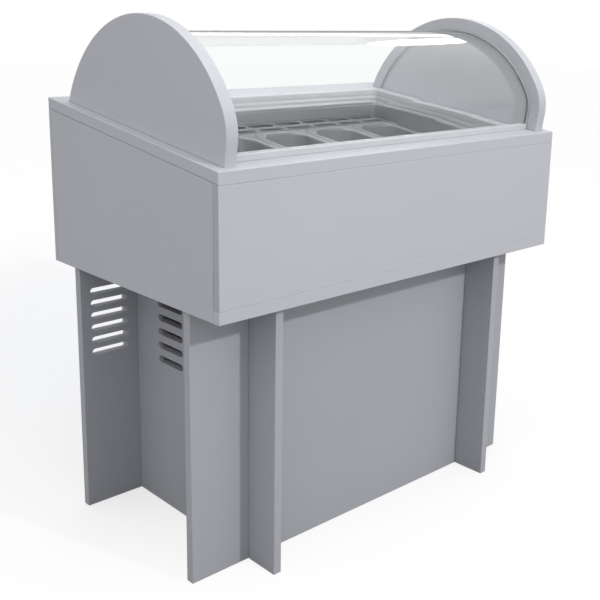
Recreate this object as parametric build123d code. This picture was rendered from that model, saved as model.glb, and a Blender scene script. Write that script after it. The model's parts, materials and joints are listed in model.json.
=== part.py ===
from build123d import *
import math
import os

# Ice cream display case: an insulated case with a sloping deck, a row of pans under a curved glass
# held by two half-round end panels, on a pedestal of four crossing boards that holds the cooling machine.
# Millimetres, Z up, front at -Y, origin on the floor under the middle of the case.

# Case
CASE_W = 1050.0
CASE_D = 630.0
CASE_BOTTOM_Z = 598.0
CASE_FRONT_H = 290.0
CASE_REAR_H = 378.0
DECK_T = 26.0
BASE_T = 26.0
PANEL_T = 18.0
REAR_T = 12.0
JOINT_GAP = 0.2  # between fixed pieces that sit inside each other

# Pans and what carries them, measured along and square to the deck
PAN_COUNT = 5
PAN_W = 165.0
PAN_L = 360.0
PAN_H = 120.0
PAN_GAP = 3.0
PAN_DEPTH = 74.0  # rim below the deck
PAN_RIM_W = 16.0
PAN_RIM_T = 2.0
PAN_WALL = 1.5
PAN_RIM_CORNER_R = 26.0
PAN_CORNER_R = 36.0  # of the drawn body under the rim
PAN_DRAFT = 4.0
PAN_SEAT_GAP = 0.1
RAIL_T = 2.0
RAIL_LEG = 28.0
RAIL_CLEARANCE = 1.5  # between a rail's edge and the pan bodies
RAIL_SHELF = 8.0  # behind the pans, under the grille

# Slotted air grille behind the pans
GRILLE_T = 1.5
GRILLE_RISE = 2.0  # above the pan rims
GRILLE_GAP = 2.0  # to the pan rims
GRILLE_EDGE_H = 8.0
GRILLE_SLOTS = 9  # in each row
GRILLE_FRONT_SLOT_W = 18.0
GRILLE_REAR_SLOT_W = 27.0
GRILLE_BAR = 12.0  # between the slots of a row
GRILLE_FRONT_BAR = 3.0  # from its front edge to the front row
GRILLE_REAR_BAR = 4.0  # from the rear row to its rear edge

# Well
WELL_FRONT = 90.0  # from the deck's front edge
WELL_DEPTH = 216.0
WELL_CORNER_R = 14.0
WELL_SIDE_GAP = 5.5
WELL_FRONT_GAP = 4.0
WELL_REAR_GAP = 76.0
LINER_T = 1.5
RIM_T = 8.0
RIM_H = 35.0
RIM_LIP_W = 12.0
RIM_LIP_T = 2.5

# End panels, glass, seals and front rail; the half-round is a circle with its centre under the deck,
# cut upright at the front with a rounded corner
END_T = 28.0
END_SETBACK = 25.0
END_R = 310.0
END_CENTRE_V = 287.0
END_DROP = 76.0
END_FRONT = 16.0
END_CORNER_R = 110.0
GLASS_T = 6.0
GLASS_INSET = 34.0
GLASS_REAR_ANGLE = 34.0
GLASS_FOOT = 4.0
SEAL_W = 16.0
SEAL_PROUD = 2.0
SEAL_BASE_T = 2.0
GROOVE_D = 8.0
FRONT_RAIL_W = 20.0
FRONT_RAIL_H = 13.0
DOWEL_D = 10.0
DOWEL_IN_PANEL = 28.0
DOWEL_IN_DECK = 22.0
DOWEL_PLACES = (90.0, 500.0)

# Pedestal
BOARD_T = 20.0
FIN_END_SETBACK = 9.0
SIDE_BOARD_INSET = 159.0
FRONT_BOARD_SETBACK = 109.0
REAR_BOARD_SETBACK = 73.0
SIDE_FIN_SETBACK = 23.0
SLOT_L = 98.0
SLOT_H = 16.0
SLOT_PITCH = 29.6
SLOT_COUNT = 6
SLOT_TOP_GAP = 55.0
SIDE_SLOT_PITCH = 34.0
SIDE_SLOT_TOP_GAP = 49.0
SIDE_SLOT_GAP = 90.0  # from the rear board to the side slots

# Evaporator coil and drain
COIL_D = 9.5
COIL_BEND = 19.0
COIL_RUNS = 6
COIL_PITCH = 64.0
COIL_FRONT_V = 120.0
COIL_HALF_L = 380.0
COIL_STUB_X = -250.0
COIL_STUB_OUT = 30.0
COIL_POCKET = 12.0
DRAIN_D = 24.0
DRAIN_WALL = 2.0
DRAIN_FLANGE_D = 44.0
DRAIN_FLANGE_T = 2.0
DRAIN_X = 200.0
DRAIN_OUT = 40.0

# Machine compartment
TRAY_Z = 60.0
TRAY_T = 2.0
TRAY_EDGE_GAP = 3.0
TRAY_ANGLE_LEG = 30.0
ANGLE_T = 3.0
COMPRESSOR_X = -160.0
COMPRESSOR_Y = 18.0
COMPRESSOR_R = 92.0
COMPRESSOR_H = 190.0
COMPRESSOR_DOME = 45.0
FOOT_PLATE_L = 210.0
FOOT_PLATE_W = 150.0
FOOT_PLATE_T = 3.0
FOOT_BOLT_X = 180.0
FOOT_BOLT_Y = 120.0
GROMMET_D = 24.0
GROMMET_H = 18.0
BOLT_D = 8.0
BOLT_HEAD_D = 15.0
BOLT_HEAD_H = 5.5
TERMINAL_W = 56.0
TERMINAL_D = 26.0
TERMINAL_LAP = 20.0
TERMINAL_H = 62.0
STUB_RISE = 18.0
STUB_X = 50.0
SUCTION_STUB_Y = 30.0
DISCHARGE_STUB_Y = -40.0
LINE_D = 8.0
SUCTION_D = 9.5
CAPILLARY_D = 4.0
LINE_BEND = 16.0
CONDENSER_X = 130.0
CONDENSER_T = 60.0
CONDENSER_SIZE = 260.0
FIN_T = 2.0
FIN_PITCH = 10.0
CONDENSER_TUBE_D = 10.0
CONDENSER_ROWS = 5
CONDENSER_STUB = 28.0
SHROUD_T = 2.0
SHROUD_DEPTH = 36.0
FAN_D = 200.0
FAN_TIP_GAP = 5.0
FAN_HUB_D = 50.0
FAN_HUB_L = 32.0
FAN_END_GAP = 0.5
FAN_SHAFT_IN = 25.0
FAN_BLADES = 5
FAN_BLADE_T = 2.5
FAN_BLADE_W = 58.0
FAN_BLADE_ROOT = 6.0
FAN_BLADE_TWIST = 28.0
SHAFT_D = 6.0
SHAFT_FIT = 0.05
MOTOR_D = 80.0
MOTOR_L = 50.0
ARM_W = 16.0
DRIER_D = 22.0
DRIER_L = 100.0
DRIER_Y = -160.0
CLIP_T = 3.0
CLIP_W = 20.0
ELECTRICAL_BOX = (70.0, 120.0, 100.0)
ELECTRICAL_BOX_Y = -90.0
ELECTRICAL_BOX_DROP = 128.0  # below the case
ELECTRICAL_BOX_WALL = 2.5

# Service side
PLATE_W = 170.0
PLATE_H = 80.0
PLATE_T = 2.0
PLATE_X = 150.0
PLATE_DROP = 98.0  # below the case
SWITCH_X = 105.0
SWITCH_BODY_W = 20.0
SWITCH_BODY_H = 31.0
SWITCH_BODY_D = 24.0
SWITCH_FLANGE = 2.0
SWITCH_WALL = 2.4
ROCKER_TILT = 8.0
ROCKER_HALF = 12.0
ROCKER_LIFT = 1.5
ROCKER_DIP = 0.5
ROCKER_BELLY = 2.0
ROCKER_TAPER = 1.0
ROCKER_SIDE_GAP = 0.4
PIVOT_D = 3.0
PIVOT_DEPTH = 3.0
CAVITY_D = 11.0
CAVITY_GAP = 1.3
THERMOSTAT_X = 190.0
THERMOSTAT_W = 44.0
THERMOSTAT_H = 36.0
THERMOSTAT_D = 28.0
KNOB_D = 36.0
KNOB_H = 17.0
KNOB_GRIP_W = 10.0
KNOB_GAP = 0.6
KNOB_SKIN = 3.0
CUTOUT_GAP = 1.0
GLAND_X = 200.0
GLAND_Z = 90.0
GLAND_D = 16.0
GLAND_HEX = 24.0
GLAND_HEX_T = 5.0
GLAND_BORE = 8.0
GLAND_NOSE = 14.0
GLAND_NOSE_D = 20.0

# Fasteners
SCREW_D = 4.0
SCREW_HEAD_D = 8.5
SCREW_HEAD_H = 2.5
SCREW_L = 15.0
PANEL_SCREW_L = 30.0
SCREW_FIT = 0.1
REAR_SCREW_RISES = (0.18, 0.5, 0.82)  # shares of the rear height
REAR_SCREW_SPREAD = (-0.6, -0.2, 0.2, 0.6)  # shares of the half width
BRACKET_LEG = 40.0
BRACKET_L = 60.0
BRACKET_SCREW_SPREAD = 36.0
BRACKET_YS = (-120.0, 150.0)
BRACKET_SCREW_OFFSET = 24.0

# Sizes and places that follow from the ones above
DECK_FRONT_Z = CASE_BOTTOM_Z + CASE_FRONT_H
SLOPE = math.atan2(CASE_REAR_H - CASE_FRONT_H, CASE_D)
DECK_DROP = DECK_T / math.cos(SLOPE)
HALF_W = CASE_W / 2
HALF_D = CASE_D / 2
WELL_HALF = (PAN_COUNT * PAN_W + (PAN_COUNT - 1) * PAN_GAP) / 2 + WELL_SIDE_GAP
WELL_REAR = WELL_FRONT + WELL_FRONT_GAP + PAN_L + WELL_REAR_GAP
PAN_FRONT = WELL_FRONT + WELL_FRONT_GAP
PAN_REAR = PAN_FRONT + PAN_L
RAIL_TOP = -PAN_DEPTH - PAN_RIM_T - PAN_SEAT_GAP
END_OUTER = HALF_W - END_SETBACK
END_INNER = END_OUTER - END_T
FIN_END = HALF_W - FIN_END_SETBACK
SIDE_OUTER = HALF_W - SIDE_BOARD_INSET
SIDE_INNER = SIDE_OUTER - BOARD_T
FRONT_BOARD_Y = -HALF_D + FRONT_BOARD_SETBACK
REAR_BOARD_Y = HALF_D - REAR_BOARD_SETBACK - BOARD_T
SIDE_FRONT_Y = -HALF_D + SIDE_FIN_SETBACK
SIDE_REAR_Y = HALF_D - SIDE_FIN_SETBACK
LAP_Z = CASE_BOTTOM_Z / 2
TRAY_TOP = TRAY_Z + TRAY_T
COIL_W = -WELL_DEPTH - LINER_T - COIL_D / 2 - JOINT_GAP
COIL_REAR_V = COIL_FRONT_V + (COIL_RUNS - 1) * COIL_PITCH
DRAIN_V = COIL_FRONT_V + COIL_PITCH / 2
FAN_Y = COMPRESSOR_Y
FAN_Z = TRAY_TOP + JOINT_GAP + CONDENSER_SIZE / 2
SHROUD_X = CONDENSER_X - SHROUD_DEPTH
PLATE_Y = REAR_BOARD_Y + BOARD_T
PLATE_Z = CASE_BOTTOM_Z - PLATE_DROP
ELECTRICAL_BOX_Z = CASE_BOTTOM_Z - ELECTRICAL_BOX_DROP
COMPRESSOR_Z = TRAY_TOP + GROMMET_H + FOOT_PLATE_T
DRIER_Z = TRAY_TOP + JOINT_GAP + CONDENSER_SIZE / CONDENSER_ROWS / 2
STUB_TOP = COMPRESSOR_Z + COMPRESSOR_H + STUB_RISE
DECK = Plane(
    origin=(0, -HALF_D, DECK_FRONT_Z),
    x_dir=(1, 0, 0),
    z_dir=(0, -math.sin(SLOPE), math.cos(SLOPE)),
)
parts = {}


# Helpers
def block(x0, x1, y0, y1, z0, z1):
    return Pos((x0 + x1) / 2, (y0 + y1) / 2, (z0 + z1) / 2) * Box(x1 - x0, y1 - y0, z1 - z0)


def on_deck(shape):
    return DECK.location * shape


def deck_point(u, v, w):
    return DECK.from_local_coords(Vector(u, v, w))


def deck_w_at(v, z):
    return (z - DECK_FRONT_Z - v * math.sin(SLOPE)) / math.cos(SLOPE)


def deck_z(y):
    return DECK_FRONT_Z + (y + HALF_D) * math.tan(SLOPE)


def side_prism(points, x0, x1):
    outline = Polyline(*[(x0, y, z) for y, z in points], close=True)
    return extrude(make_face(outline), amount=x1 - x0, dir=(1, 0, 0))


def rounded_box(half_u, v0, v1, w0, w1, radius):
    base = Pos(0, (v0 + v1) / 2, w0) * RectangleRounded(2 * half_u, v1 - v0, radius)
    return extrude(base, amount=w1 - w0, dir=(0, 0, 1))


def tube(points, diameter, bend):
    path = FilletPolyline(*points, radius=bend)
    start = Plane(origin=points[0], z_dir=Vector(points[1]) - Vector(points[0]))
    return sweep(start * Circle(diameter / 2), path=path)


def rod(centre, direction, diameter, length):
    plane = Plane(origin=centre, z_dir=direction)
    return extrude(plane * Circle(diameter / 2), amount=length)


def hexagon(centre, direction, across_flats, length):
    plane = Plane(origin=centre, z_dir=direction)
    return extrude(plane * RegularPolygon(across_flats / 2, 6, major_radius=False), amount=length)


def pan_head(centre, outward, grow=0.0):
    into = Vector(outward) * -1
    head = rod(centre, outward, SCREW_HEAD_D + 2 * grow, SCREW_HEAD_H)
    return head + rod(centre, into, SCREW_D + 2 * grow, SCREW_L + grow)


def flush_head(centre, outward, length, grow=0.0):
    plane = Plane(origin=centre, z_dir=Vector(outward) * -1)
    cone_depth = (SCREW_HEAD_D - SCREW_D) / 2
    cone = Pos(0, 0, cone_depth / 2) * Cone(SCREW_HEAD_D / 2 + grow, SCREW_D / 2 + grow, cone_depth)
    shank = Pos(0, 0, length / 2) * Cylinder(SCREW_D / 2 + grow, length + 2 * grow)
    return plane.location * (cone + shank)


def group(shapes):
    return Compound(children=[solid for shape in shapes for solid in shape.solids()])


# Half-round outline, moved in by inset: upright front edge, rounded corner, then the crown circle
def dome_edges(inset, x, foot, rear_angle):
    radius = END_R - inset
    corner = END_CORNER_R - inset
    front = END_FRONT + inset
    corner_v = END_FRONT + END_CORNER_R
    reach = END_R - END_CORNER_R
    corner_w = math.sqrt(reach**2 - (corner_v - END_CENTRE_V) ** 2) - END_DROP
    lean = math.atan2(corner_v - END_CENTRE_V, corner_w + END_DROP)
    turn = (math.pi / 2 + lean) / 2

    def on_crown(angle):
        return (x, END_CENTRE_V + radius * math.sin(angle), radius * math.cos(angle) - END_DROP)

    foot_point = (x, front, foot)
    spring = (x, front, corner_w)
    half_turn = (x, corner_v - corner * math.cos(turn), corner_w + corner * math.sin(turn))
    edges = [
        Line(foot_point, spring),
        ThreePointArc(spring, half_turn, on_crown(lean)),
        ThreePointArc(on_crown(lean), on_crown((lean + rear_angle) / 2), on_crown(rear_angle)),
    ]
    return edges, foot_point, on_crown(rear_angle)


def dome_band(inset0, inset1, x0, x1, foot, rear_angle):
    outer, outer_foot, outer_end = dome_edges(inset0, x0, foot, rear_angle)
    inner, inner_foot, inner_end = dome_edges(inset1, x0, foot, rear_angle)
    closing = [Line(outer_foot, inner_foot), Line(outer_end, inner_end)]
    return extrude(make_face(outer + inner + closing), amount=x1 - x0, dir=(1, 0, 0))


# Pedestal: boards lap half and half where they cross, long ones cut from above, side ones from below
def slot(length, height, depth):
    return extrude(SlotOverall(length, height), amount=depth, both=True)


def slot_heights(top_gap, pitch):
    top = CASE_BOTTOM_Z - top_gap - SLOT_H / 2
    return [top - i * pitch for i in range(SLOT_COUNT)]


def long_board(y0):
    board = block(-FIN_END, FIN_END, y0, y0 + BOARD_T, 0, CASE_BOTTOM_Z)
    for side in (-1, 1):
        x_mid = side * (SIDE_OUTER + SIDE_INNER) / 2
        half = BOARD_T / 2 + JOINT_GAP
        lap_x = (x_mid - half, x_mid + half)
        board -= block(*lap_x, y0 - 1, y0 + BOARD_T + 1, LAP_Z - JOINT_GAP, CASE_BOTTOM_Z + 1)
    return board


def side_board(side):
    x0, x1 = sorted((side * SIDE_OUTER, side * SIDE_INNER))
    board = block(x0, x1, SIDE_FRONT_Y, SIDE_REAR_Y, 0, CASE_BOTTOM_Z)
    for y0 in (FRONT_BOARD_Y, REAR_BOARD_Y):
        board -= block(x0 - 1, x1 + 1, y0 - JOINT_GAP, y0 + BOARD_T + JOINT_GAP, -1, LAP_Z)
    slot_y = REAR_BOARD_Y - SIDE_SLOT_GAP - SLOT_L / 2
    for z in slot_heights(SIDE_SLOT_TOP_GAP, SIDE_SLOT_PITCH):
        cutter = Rot(0, 0, 90) * Rot(90, 0, 0) * slot(SLOT_L, SLOT_H, BOARD_T)
        board -= Pos((x0 + x1) / 2, slot_y, z) * cutter
    return board


def rear_board():
    board = long_board(REAR_BOARD_Y)
    fin_mid = (FIN_END + SIDE_OUTER) / 2
    for x in (-fin_mid, fin_mid):
        for z in slot_heights(SLOT_TOP_GAP, SLOT_PITCH):
            board -= Pos(x, REAR_BOARD_Y + BOARD_T / 2, z) * Rot(90, 0, 0) * slot(SLOT_L, SLOT_H, BOARD_T)
    through = (REAR_BOARD_Y - 1, PLATE_Y + 1)
    half_w = SWITCH_BODY_W / 2 + CUTOUT_GAP
    half_h = SWITCH_BODY_H / 2 + CUTOUT_GAP
    board -= block(SWITCH_X - half_w, SWITCH_X + half_w, *through, PLATE_Z - half_h, PLATE_Z + half_h)
    half_w = THERMOSTAT_W / 2 + CUTOUT_GAP
    half_h = THERMOSTAT_H / 2 + CUTOUT_GAP
    cutout_x = (THERMOSTAT_X - half_w, THERMOSTAT_X + half_w)
    board -= block(*cutout_x, *through, PLATE_Z - half_h, PLATE_Z + half_h)
    gland_hole = GLAND_D + 2 * JOINT_GAP
    return board - rod((GLAND_X, through[0], GLAND_Z), (0, 1, 0), gland_hole, through[1] - through[0])


# Case shell: base board, front, side and rear panels under the deck
def under_deck(y0, y1, z0, drop):
    return [(y0, z0), (y1, z0), (y1, deck_z(y1) - drop), (y0, deck_z(y0) - drop)]


def case_base_board():
    inner = HALF_W - PANEL_T
    z0, z1 = CASE_BOTTOM_Z, CASE_BOTTOM_Z + BASE_T
    board = block(-inner, inner, -HALF_D, HALF_D - REAR_T, z0, z1)
    board += block(-HALF_W, HALF_W, -HALF_D, -HALF_D + PANEL_T, z0, z1)
    for v in (COIL_FRONT_V, COIL_REAR_V):
        board -= on_deck(rod((COIL_STUB_X, v, 0), (0, 0, -1), COIL_D + 2 * JOINT_GAP, CASE_BOTTOM_Z))
    board -= on_deck(rod((DRAIN_X, DRAIN_V, 0), (0, 0, -1), DRAIN_D + 2 * JOINT_GAP, CASE_BOTTOM_Z))
    return board


def case_front_panel():
    outline = under_deck(-HALF_D, -HALF_D + PANEL_T, CASE_BOTTOM_Z + BASE_T, DECK_DROP)
    return side_prism(outline, -HALF_W, HALF_W)


def case_side_panel(side):
    outline = under_deck(-HALF_D + PANEL_T, HALF_D - REAR_T, CASE_BOTTOM_Z, DECK_DROP)
    x0, x1 = sorted((side * HALF_W, side * (HALF_W - PANEL_T)))
    return side_prism(outline, x0, x1)


def case_rear_panel():
    return side_prism(under_deck(HALF_D - REAR_T, HALF_D, CASE_BOTTOM_Z, DECK_DROP), -HALF_W, HALF_W)


def deck_frame():
    below = [(y, deck_z(y) - DECK_DROP) for y in (-HALF_D, HALF_D)]
    above = [(y, deck_z(y)) for y in (HALF_D, -HALF_D)]
    grow = RIM_T + JOINT_GAP
    hole = rounded_box(
        WELL_HALF + grow, WELL_FRONT - grow, WELL_REAR + grow, -2 * DECK_T, DECK_T, WELL_CORNER_R + grow
    )
    frame = side_prism(below + above, -HALF_W, HALF_W) - on_deck(hole)
    for u, v in dowel_places():
        frame -= on_deck(rod((u, v, 0), (0, 0, -1), DOWEL_D + 2 * JOINT_GAP, DOWEL_IN_DECK + JOINT_GAP))
    return frame


# Well: rim, liner, insulation round it, coil under the liner's floor, drain
def well_rim():
    outer_v = (WELL_FRONT - RIM_T, WELL_REAR + RIM_T)
    ring = rounded_box(WELL_HALF + RIM_T, *outer_v, -RIM_H, RIM_LIP_T, WELL_CORNER_R + RIM_T)
    ring += rounded_box(
        WELL_HALF + RIM_T + RIM_LIP_W,
        outer_v[0] - RIM_LIP_W,
        outer_v[1] + RIM_LIP_W,
        0,
        RIM_LIP_T,
        WELL_CORNER_R + RIM_T + RIM_LIP_W,
    )
    ring -= rounded_box(WELL_HALF, WELL_FRONT, WELL_REAR, -2 * RIM_H, RIM_H, WELL_CORNER_R)
    return on_deck(ring)


def well_liner():
    tub = rounded_box(
        WELL_HALF + LINER_T,
        WELL_FRONT - LINER_T,
        WELL_REAR + LINER_T,
        -WELL_DEPTH - LINER_T,
        -RIM_H,
        WELL_CORNER_R + LINER_T,
    )
    tub -= rounded_box(WELL_HALF, WELL_FRONT, WELL_REAR, -WELL_DEPTH, 0, WELL_CORNER_R)
    tub -= rod((DRAIN_X, DRAIN_V, -WELL_DEPTH + 1), (0, 0, -1), DRAIN_D + 2 * JOINT_GAP, LINER_T + 2)
    return on_deck(tub)


def insulation():
    gap = JOINT_GAP
    y0, y1 = -HALF_D + PANEL_T + gap, HALF_D - REAR_T - gap
    outline = under_deck(y0, y1, CASE_BOTTOM_Z + BASE_T + gap, DECK_DROP + gap)
    foam = side_prism(outline, -HALF_W + PANEL_T + gap, HALF_W - PANEL_T - gap)
    grow = RIM_T + gap
    well_v = (WELL_FRONT - grow, WELL_REAR + grow)
    foam -= on_deck(rounded_box(WELL_HALF + grow, *well_v, -RIM_H - gap, DECK_T, WELL_CORNER_R + grow))
    grow = LINER_T + gap
    floor_w = -WELL_DEPTH - LINER_T - gap
    well_v = (WELL_FRONT - grow, WELL_REAR + grow)
    foam -= on_deck(rounded_box(WELL_HALF + grow, *well_v, floor_w, 0, WELL_CORNER_R + grow))
    reach = COIL_HALF_L + COIL_PITCH / 2 + COIL_POCKET
    pocket_v = (COIL_FRONT_V - COIL_POCKET, COIL_REAR_V + COIL_POCKET)
    foam -= on_deck(block(-reach, reach, *pocket_v, floor_w - COIL_POCKET, floor_w + 1))
    half = COIL_D / 2 + gap
    for v in (COIL_FRONT_V, COIL_REAR_V):
        foam -= on_deck(rod((COIL_STUB_X, v, 0), (0, 0, -1), 2 * half, CASE_BOTTOM_Z))
        bend = (COIL_STUB_X - half, COIL_STUB_X + COIL_BEND + half)
        foam -= on_deck(block(*bend, v - half, v + half, COIL_W - COIL_BEND - half, floor_w))
    foam -= on_deck(rod((DRAIN_X, DRAIN_V, 0), (0, 0, -1), DRAIN_D + 2 * gap, CASE_BOTTOM_Z))
    return foam


def coil_end(v):
    return deck_w_at(v, CASE_BOTTOM_Z - COIL_STUB_OUT)


# One tube: up from the front stub, to and fro under the floor, down at the rear stub
def evaporator_coil():
    points = [(COIL_STUB_X, COIL_FRONT_V, coil_end(COIL_FRONT_V)), (COIL_STUB_X, COIL_FRONT_V, COIL_W)]
    for run in range(COIL_RUNS):
        v = COIL_FRONT_V + run * COIL_PITCH
        ends = (-COIL_HALF_L, COIL_HALF_L) if run % 2 == 0 else (COIL_HALF_L, -COIL_HALF_L)
        if run > 0:
            points.append((ends[0], v, COIL_W))
        if run < COIL_RUNS - 1:
            points.append((ends[1], v, COIL_W))
    points.append((COIL_STUB_X, COIL_REAR_V, COIL_W))
    points.append((COIL_STUB_X, COIL_REAR_V, coil_end(COIL_REAR_V)))
    return on_deck(tube(points, COIL_D, COIL_BEND))


def drain_tube():
    length = -WELL_DEPTH + DRAIN_FLANGE_T - deck_w_at(DRAIN_V, CASE_BOTTOM_Z - DRAIN_OUT)
    top = (DRAIN_X, DRAIN_V, -WELL_DEPTH + DRAIN_FLANGE_T)
    pipe = rod(top, (0, 0, -1), DRAIN_D, length) + rod(top, (0, 0, -1), DRAIN_FLANGE_D, DRAIN_FLANGE_T)
    pipe -= rod((DRAIN_X, DRAIN_V, 0), (0, 0, -1), DRAIN_D - 2 * DRAIN_WALL, CASE_BOTTOM_Z)
    return on_deck(pipe)


# Pans and their rails
def pan_centre(index):
    return (index - (PAN_COUNT - 1) / 2) * (PAN_W + PAN_GAP)


def tapered(width, length, radius, top, depth):
    draw_in = 2 * depth * math.tan(math.radians(PAN_DRAFT))
    top_face = Pos(0, 0, top) * RectangleRounded(width, length, radius)
    foot = RectangleRounded(width - draw_in, length - draw_in, radius - draw_in / 4)
    foot_face = Pos(0, 0, top - depth) * foot
    return loft([top_face.face(), foot_face.face()], ruled=True)


def pan(index):
    width = PAN_W - 2 * PAN_RIM_W
    length = PAN_L - 2 * PAN_RIM_W
    rim_under = -PAN_DEPTH - PAN_RIM_T
    rim = Pos(0, 0, rim_under) * extrude(RectangleRounded(PAN_W, PAN_L, PAN_RIM_CORNER_R), amount=PAN_RIM_T)
    body = rim + tapered(width, length, PAN_CORNER_R, rim_under, PAN_H - PAN_RIM_T)
    inner_w = width - 2 * PAN_WALL
    inner_l = length - 2 * PAN_WALL
    inner_r = PAN_CORNER_R - PAN_WALL
    hollow = tapered(inner_w, inner_l, inner_r, rim_under, PAN_H - PAN_RIM_T - PAN_WALL)
    mouth = extrude(RectangleRounded(inner_w, inner_l, inner_r), amount=2 * PAN_RIM_T)
    body = body - hollow - Pos(0, 0, rim_under) * mouth
    return on_deck(Pos(pan_centre(index), (PAN_FRONT + PAN_REAR) / 2, 0) * body)


def pan_rail_front():
    half = WELL_HALF - WELL_CORNER_R
    wall = WELL_FRONT + JOINT_GAP
    edge = PAN_FRONT + PAN_RIM_W - RAIL_CLEARANCE
    rail = block(-half, half, wall, edge, RAIL_TOP - RAIL_T, RAIL_TOP)
    rail += block(-half, half, wall, wall + RAIL_T, RAIL_TOP - RAIL_LEG, RAIL_TOP)
    return on_deck(rail)


def pan_rail_rear():
    half = WELL_HALF - JOINT_GAP
    edge = PAN_REAR - PAN_RIM_W + RAIL_CLEARANCE
    rear = PAN_REAR + RAIL_SHELF
    rail = block(-half, half, edge, rear, RAIL_TOP - RAIL_T, RAIL_TOP)
    rail += block(-half, half, rear - RAIL_T, rear, RAIL_TOP - RAIL_LEG, RAIL_TOP)
    return on_deck(rail)


def air_grille():
    half = WELL_HALF - WELL_CORNER_R
    front = PAN_REAR + GRILLE_GAP
    rear = WELL_REAR - JOINT_GAP
    top = -PAN_DEPTH + GRILLE_RISE
    under = top - GRILLE_T
    grille = block(-half, half, front, rear, under, top)
    grille += block(-half, half, front, front + GRILLE_T, RAIL_TOP + PAN_SEAT_GAP, top)
    grille += block(-half, half, rear - GRILLE_T, rear, under, top + GRILLE_EDGE_H)
    pitch = 2 * half / GRILLE_SLOTS
    rows = [
        (front + GRILLE_FRONT_BAR + GRILLE_FRONT_SLOT_W / 2, GRILLE_FRONT_SLOT_W),
        (rear - GRILLE_REAR_BAR - GRILLE_REAR_SLOT_W / 2, GRILLE_REAR_SLOT_W),
    ]
    for row_v, width in rows:
        cutter = slot(pitch - GRILLE_BAR, width, 2 * GRILLE_T)
        for number in range(GRILLE_SLOTS):
            grille -= Pos(-half + (number + 0.5) * pitch, row_v, top) * cutter
    return on_deck(grille)


# Half-round end panels with a groove for the seal, glass, seals, front rail and dowels
def dowel_places():
    middle = (END_OUTER + END_INNER) / 2
    return [(side * middle, v) for side in (-1, 1) for v in DOWEL_PLACES]


def glass_rear_angle():
    return math.radians(GLASS_REAR_ANGLE)


def seal_insets():
    middle = GLASS_INSET + GLASS_T / 2
    return middle - SEAL_W / 2, middle + SEAL_W / 2


def inward_span(side, depth_in, proud):
    face = side * END_INNER
    return sorted((face + side * depth_in, face - side * proud))


def end_panel(side):
    x0, x1 = sorted((side * END_OUTER, side * END_INNER))
    rear_angle = math.acos(END_DROP / END_R)
    edges, foot, end = dome_edges(0, x0, 0, rear_angle)
    panel = extrude(make_face(edges + [Line(foot, end)]), amount=END_T, dir=(1, 0, 0))
    near, far = seal_insets()
    g0, g1 = inward_span(side, GROOVE_D, 1)
    groove_end = glass_rear_angle() + JOINT_GAP / END_R
    panel -= dome_band(near - JOINT_GAP, far + JOINT_GAP, g0, g1, -1, groove_end)
    for u, v in dowel_places():
        if u * side > 0:
            panel -= rod((u, v, -1), (0, 0, 1), DOWEL_D + 2 * JOINT_GAP, DOWEL_IN_PANEL + JOINT_GAP + 1)
    return on_deck(panel)


def glass_seal(side):
    near, far = seal_insets()
    s0, s1 = inward_span(side, GROOVE_D - JOINT_GAP, SEAL_PROUD)
    seal = dome_band(near, far, s0, s1, JOINT_GAP, glass_rear_angle())
    c0, c1 = inward_span(side, GROOVE_D - SEAL_BASE_T, SEAL_PROUD + 1)
    cut_angle = glass_rear_angle() + SEAL_BASE_T / END_R
    seal -= dome_band(GLASS_INSET - JOINT_GAP, GLASS_INSET + GLASS_T + JOINT_GAP, c0, c1, -1, cut_angle)
    return on_deck(group([seal]))


def canopy_glass():
    half = END_INNER + GROOVE_D - SEAL_BASE_T - JOINT_GAP
    foot = GLASS_FOOT + JOINT_GAP
    return on_deck(dome_band(GLASS_INSET, GLASS_INSET + GLASS_T, -half, half, foot, glass_rear_angle()))


def front_rail():
    half = END_INNER - SEAL_PROUD - JOINT_GAP
    middle = END_FRONT + GLASS_INSET + GLASS_T / 2
    rail = block(-half, half, middle - FRONT_RAIL_W / 2, middle + FRONT_RAIL_W / 2, 0, FRONT_RAIL_H)
    slit = GLASS_T / 2 + JOINT_GAP
    rail -= block(-half - 1, half + 1, middle - slit, middle + slit, GLASS_FOOT, FRONT_RAIL_H + 1)
    return on_deck(rail)


def end_panel_dowels():
    length = DOWEL_IN_DECK + DOWEL_IN_PANEL
    dowels = [rod((u, v, -DOWEL_IN_DECK), (0, 0, 1), DOWEL_D, length) for u, v in dowel_places()]
    return group([on_deck(dowel) for dowel in dowels])


# Angle brackets that tie the case to the side boards, and the angles that carry the tray
def bracket(side, y):
    face = side * SIDE_INNER
    x_leg = sorted((face, face - side * ANGLE_T))
    x_top = sorted((face, face - side * BRACKET_LEG))
    y0, y1 = y - BRACKET_L / 2, y + BRACKET_L / 2
    angle = block(*x_leg, y0, y1, CASE_BOTTOM_Z - BRACKET_LEG, CASE_BOTTOM_Z)
    return angle + block(*x_top, y0, y1, CASE_BOTTOM_Z - ANGLE_T, CASE_BOTTOM_Z)


def tray_angle(side):
    face = side * SIDE_INNER
    x_leg = sorted((face, face - side * ANGLE_T))
    x_top = sorted((face, face - side * TRAY_ANGLE_LEG))
    y0, y1 = tray_span()
    angle = block(*x_leg, y0, y1, TRAY_Z - TRAY_ANGLE_LEG, TRAY_Z)
    return angle + block(*x_top, y0, y1, TRAY_Z - ANGLE_T, TRAY_Z)


def tray_span():
    return FRONT_BOARD_Y + BOARD_T + TRAY_EDGE_GAP, REAR_BOARD_Y - TRAY_EDGE_GAP


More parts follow.
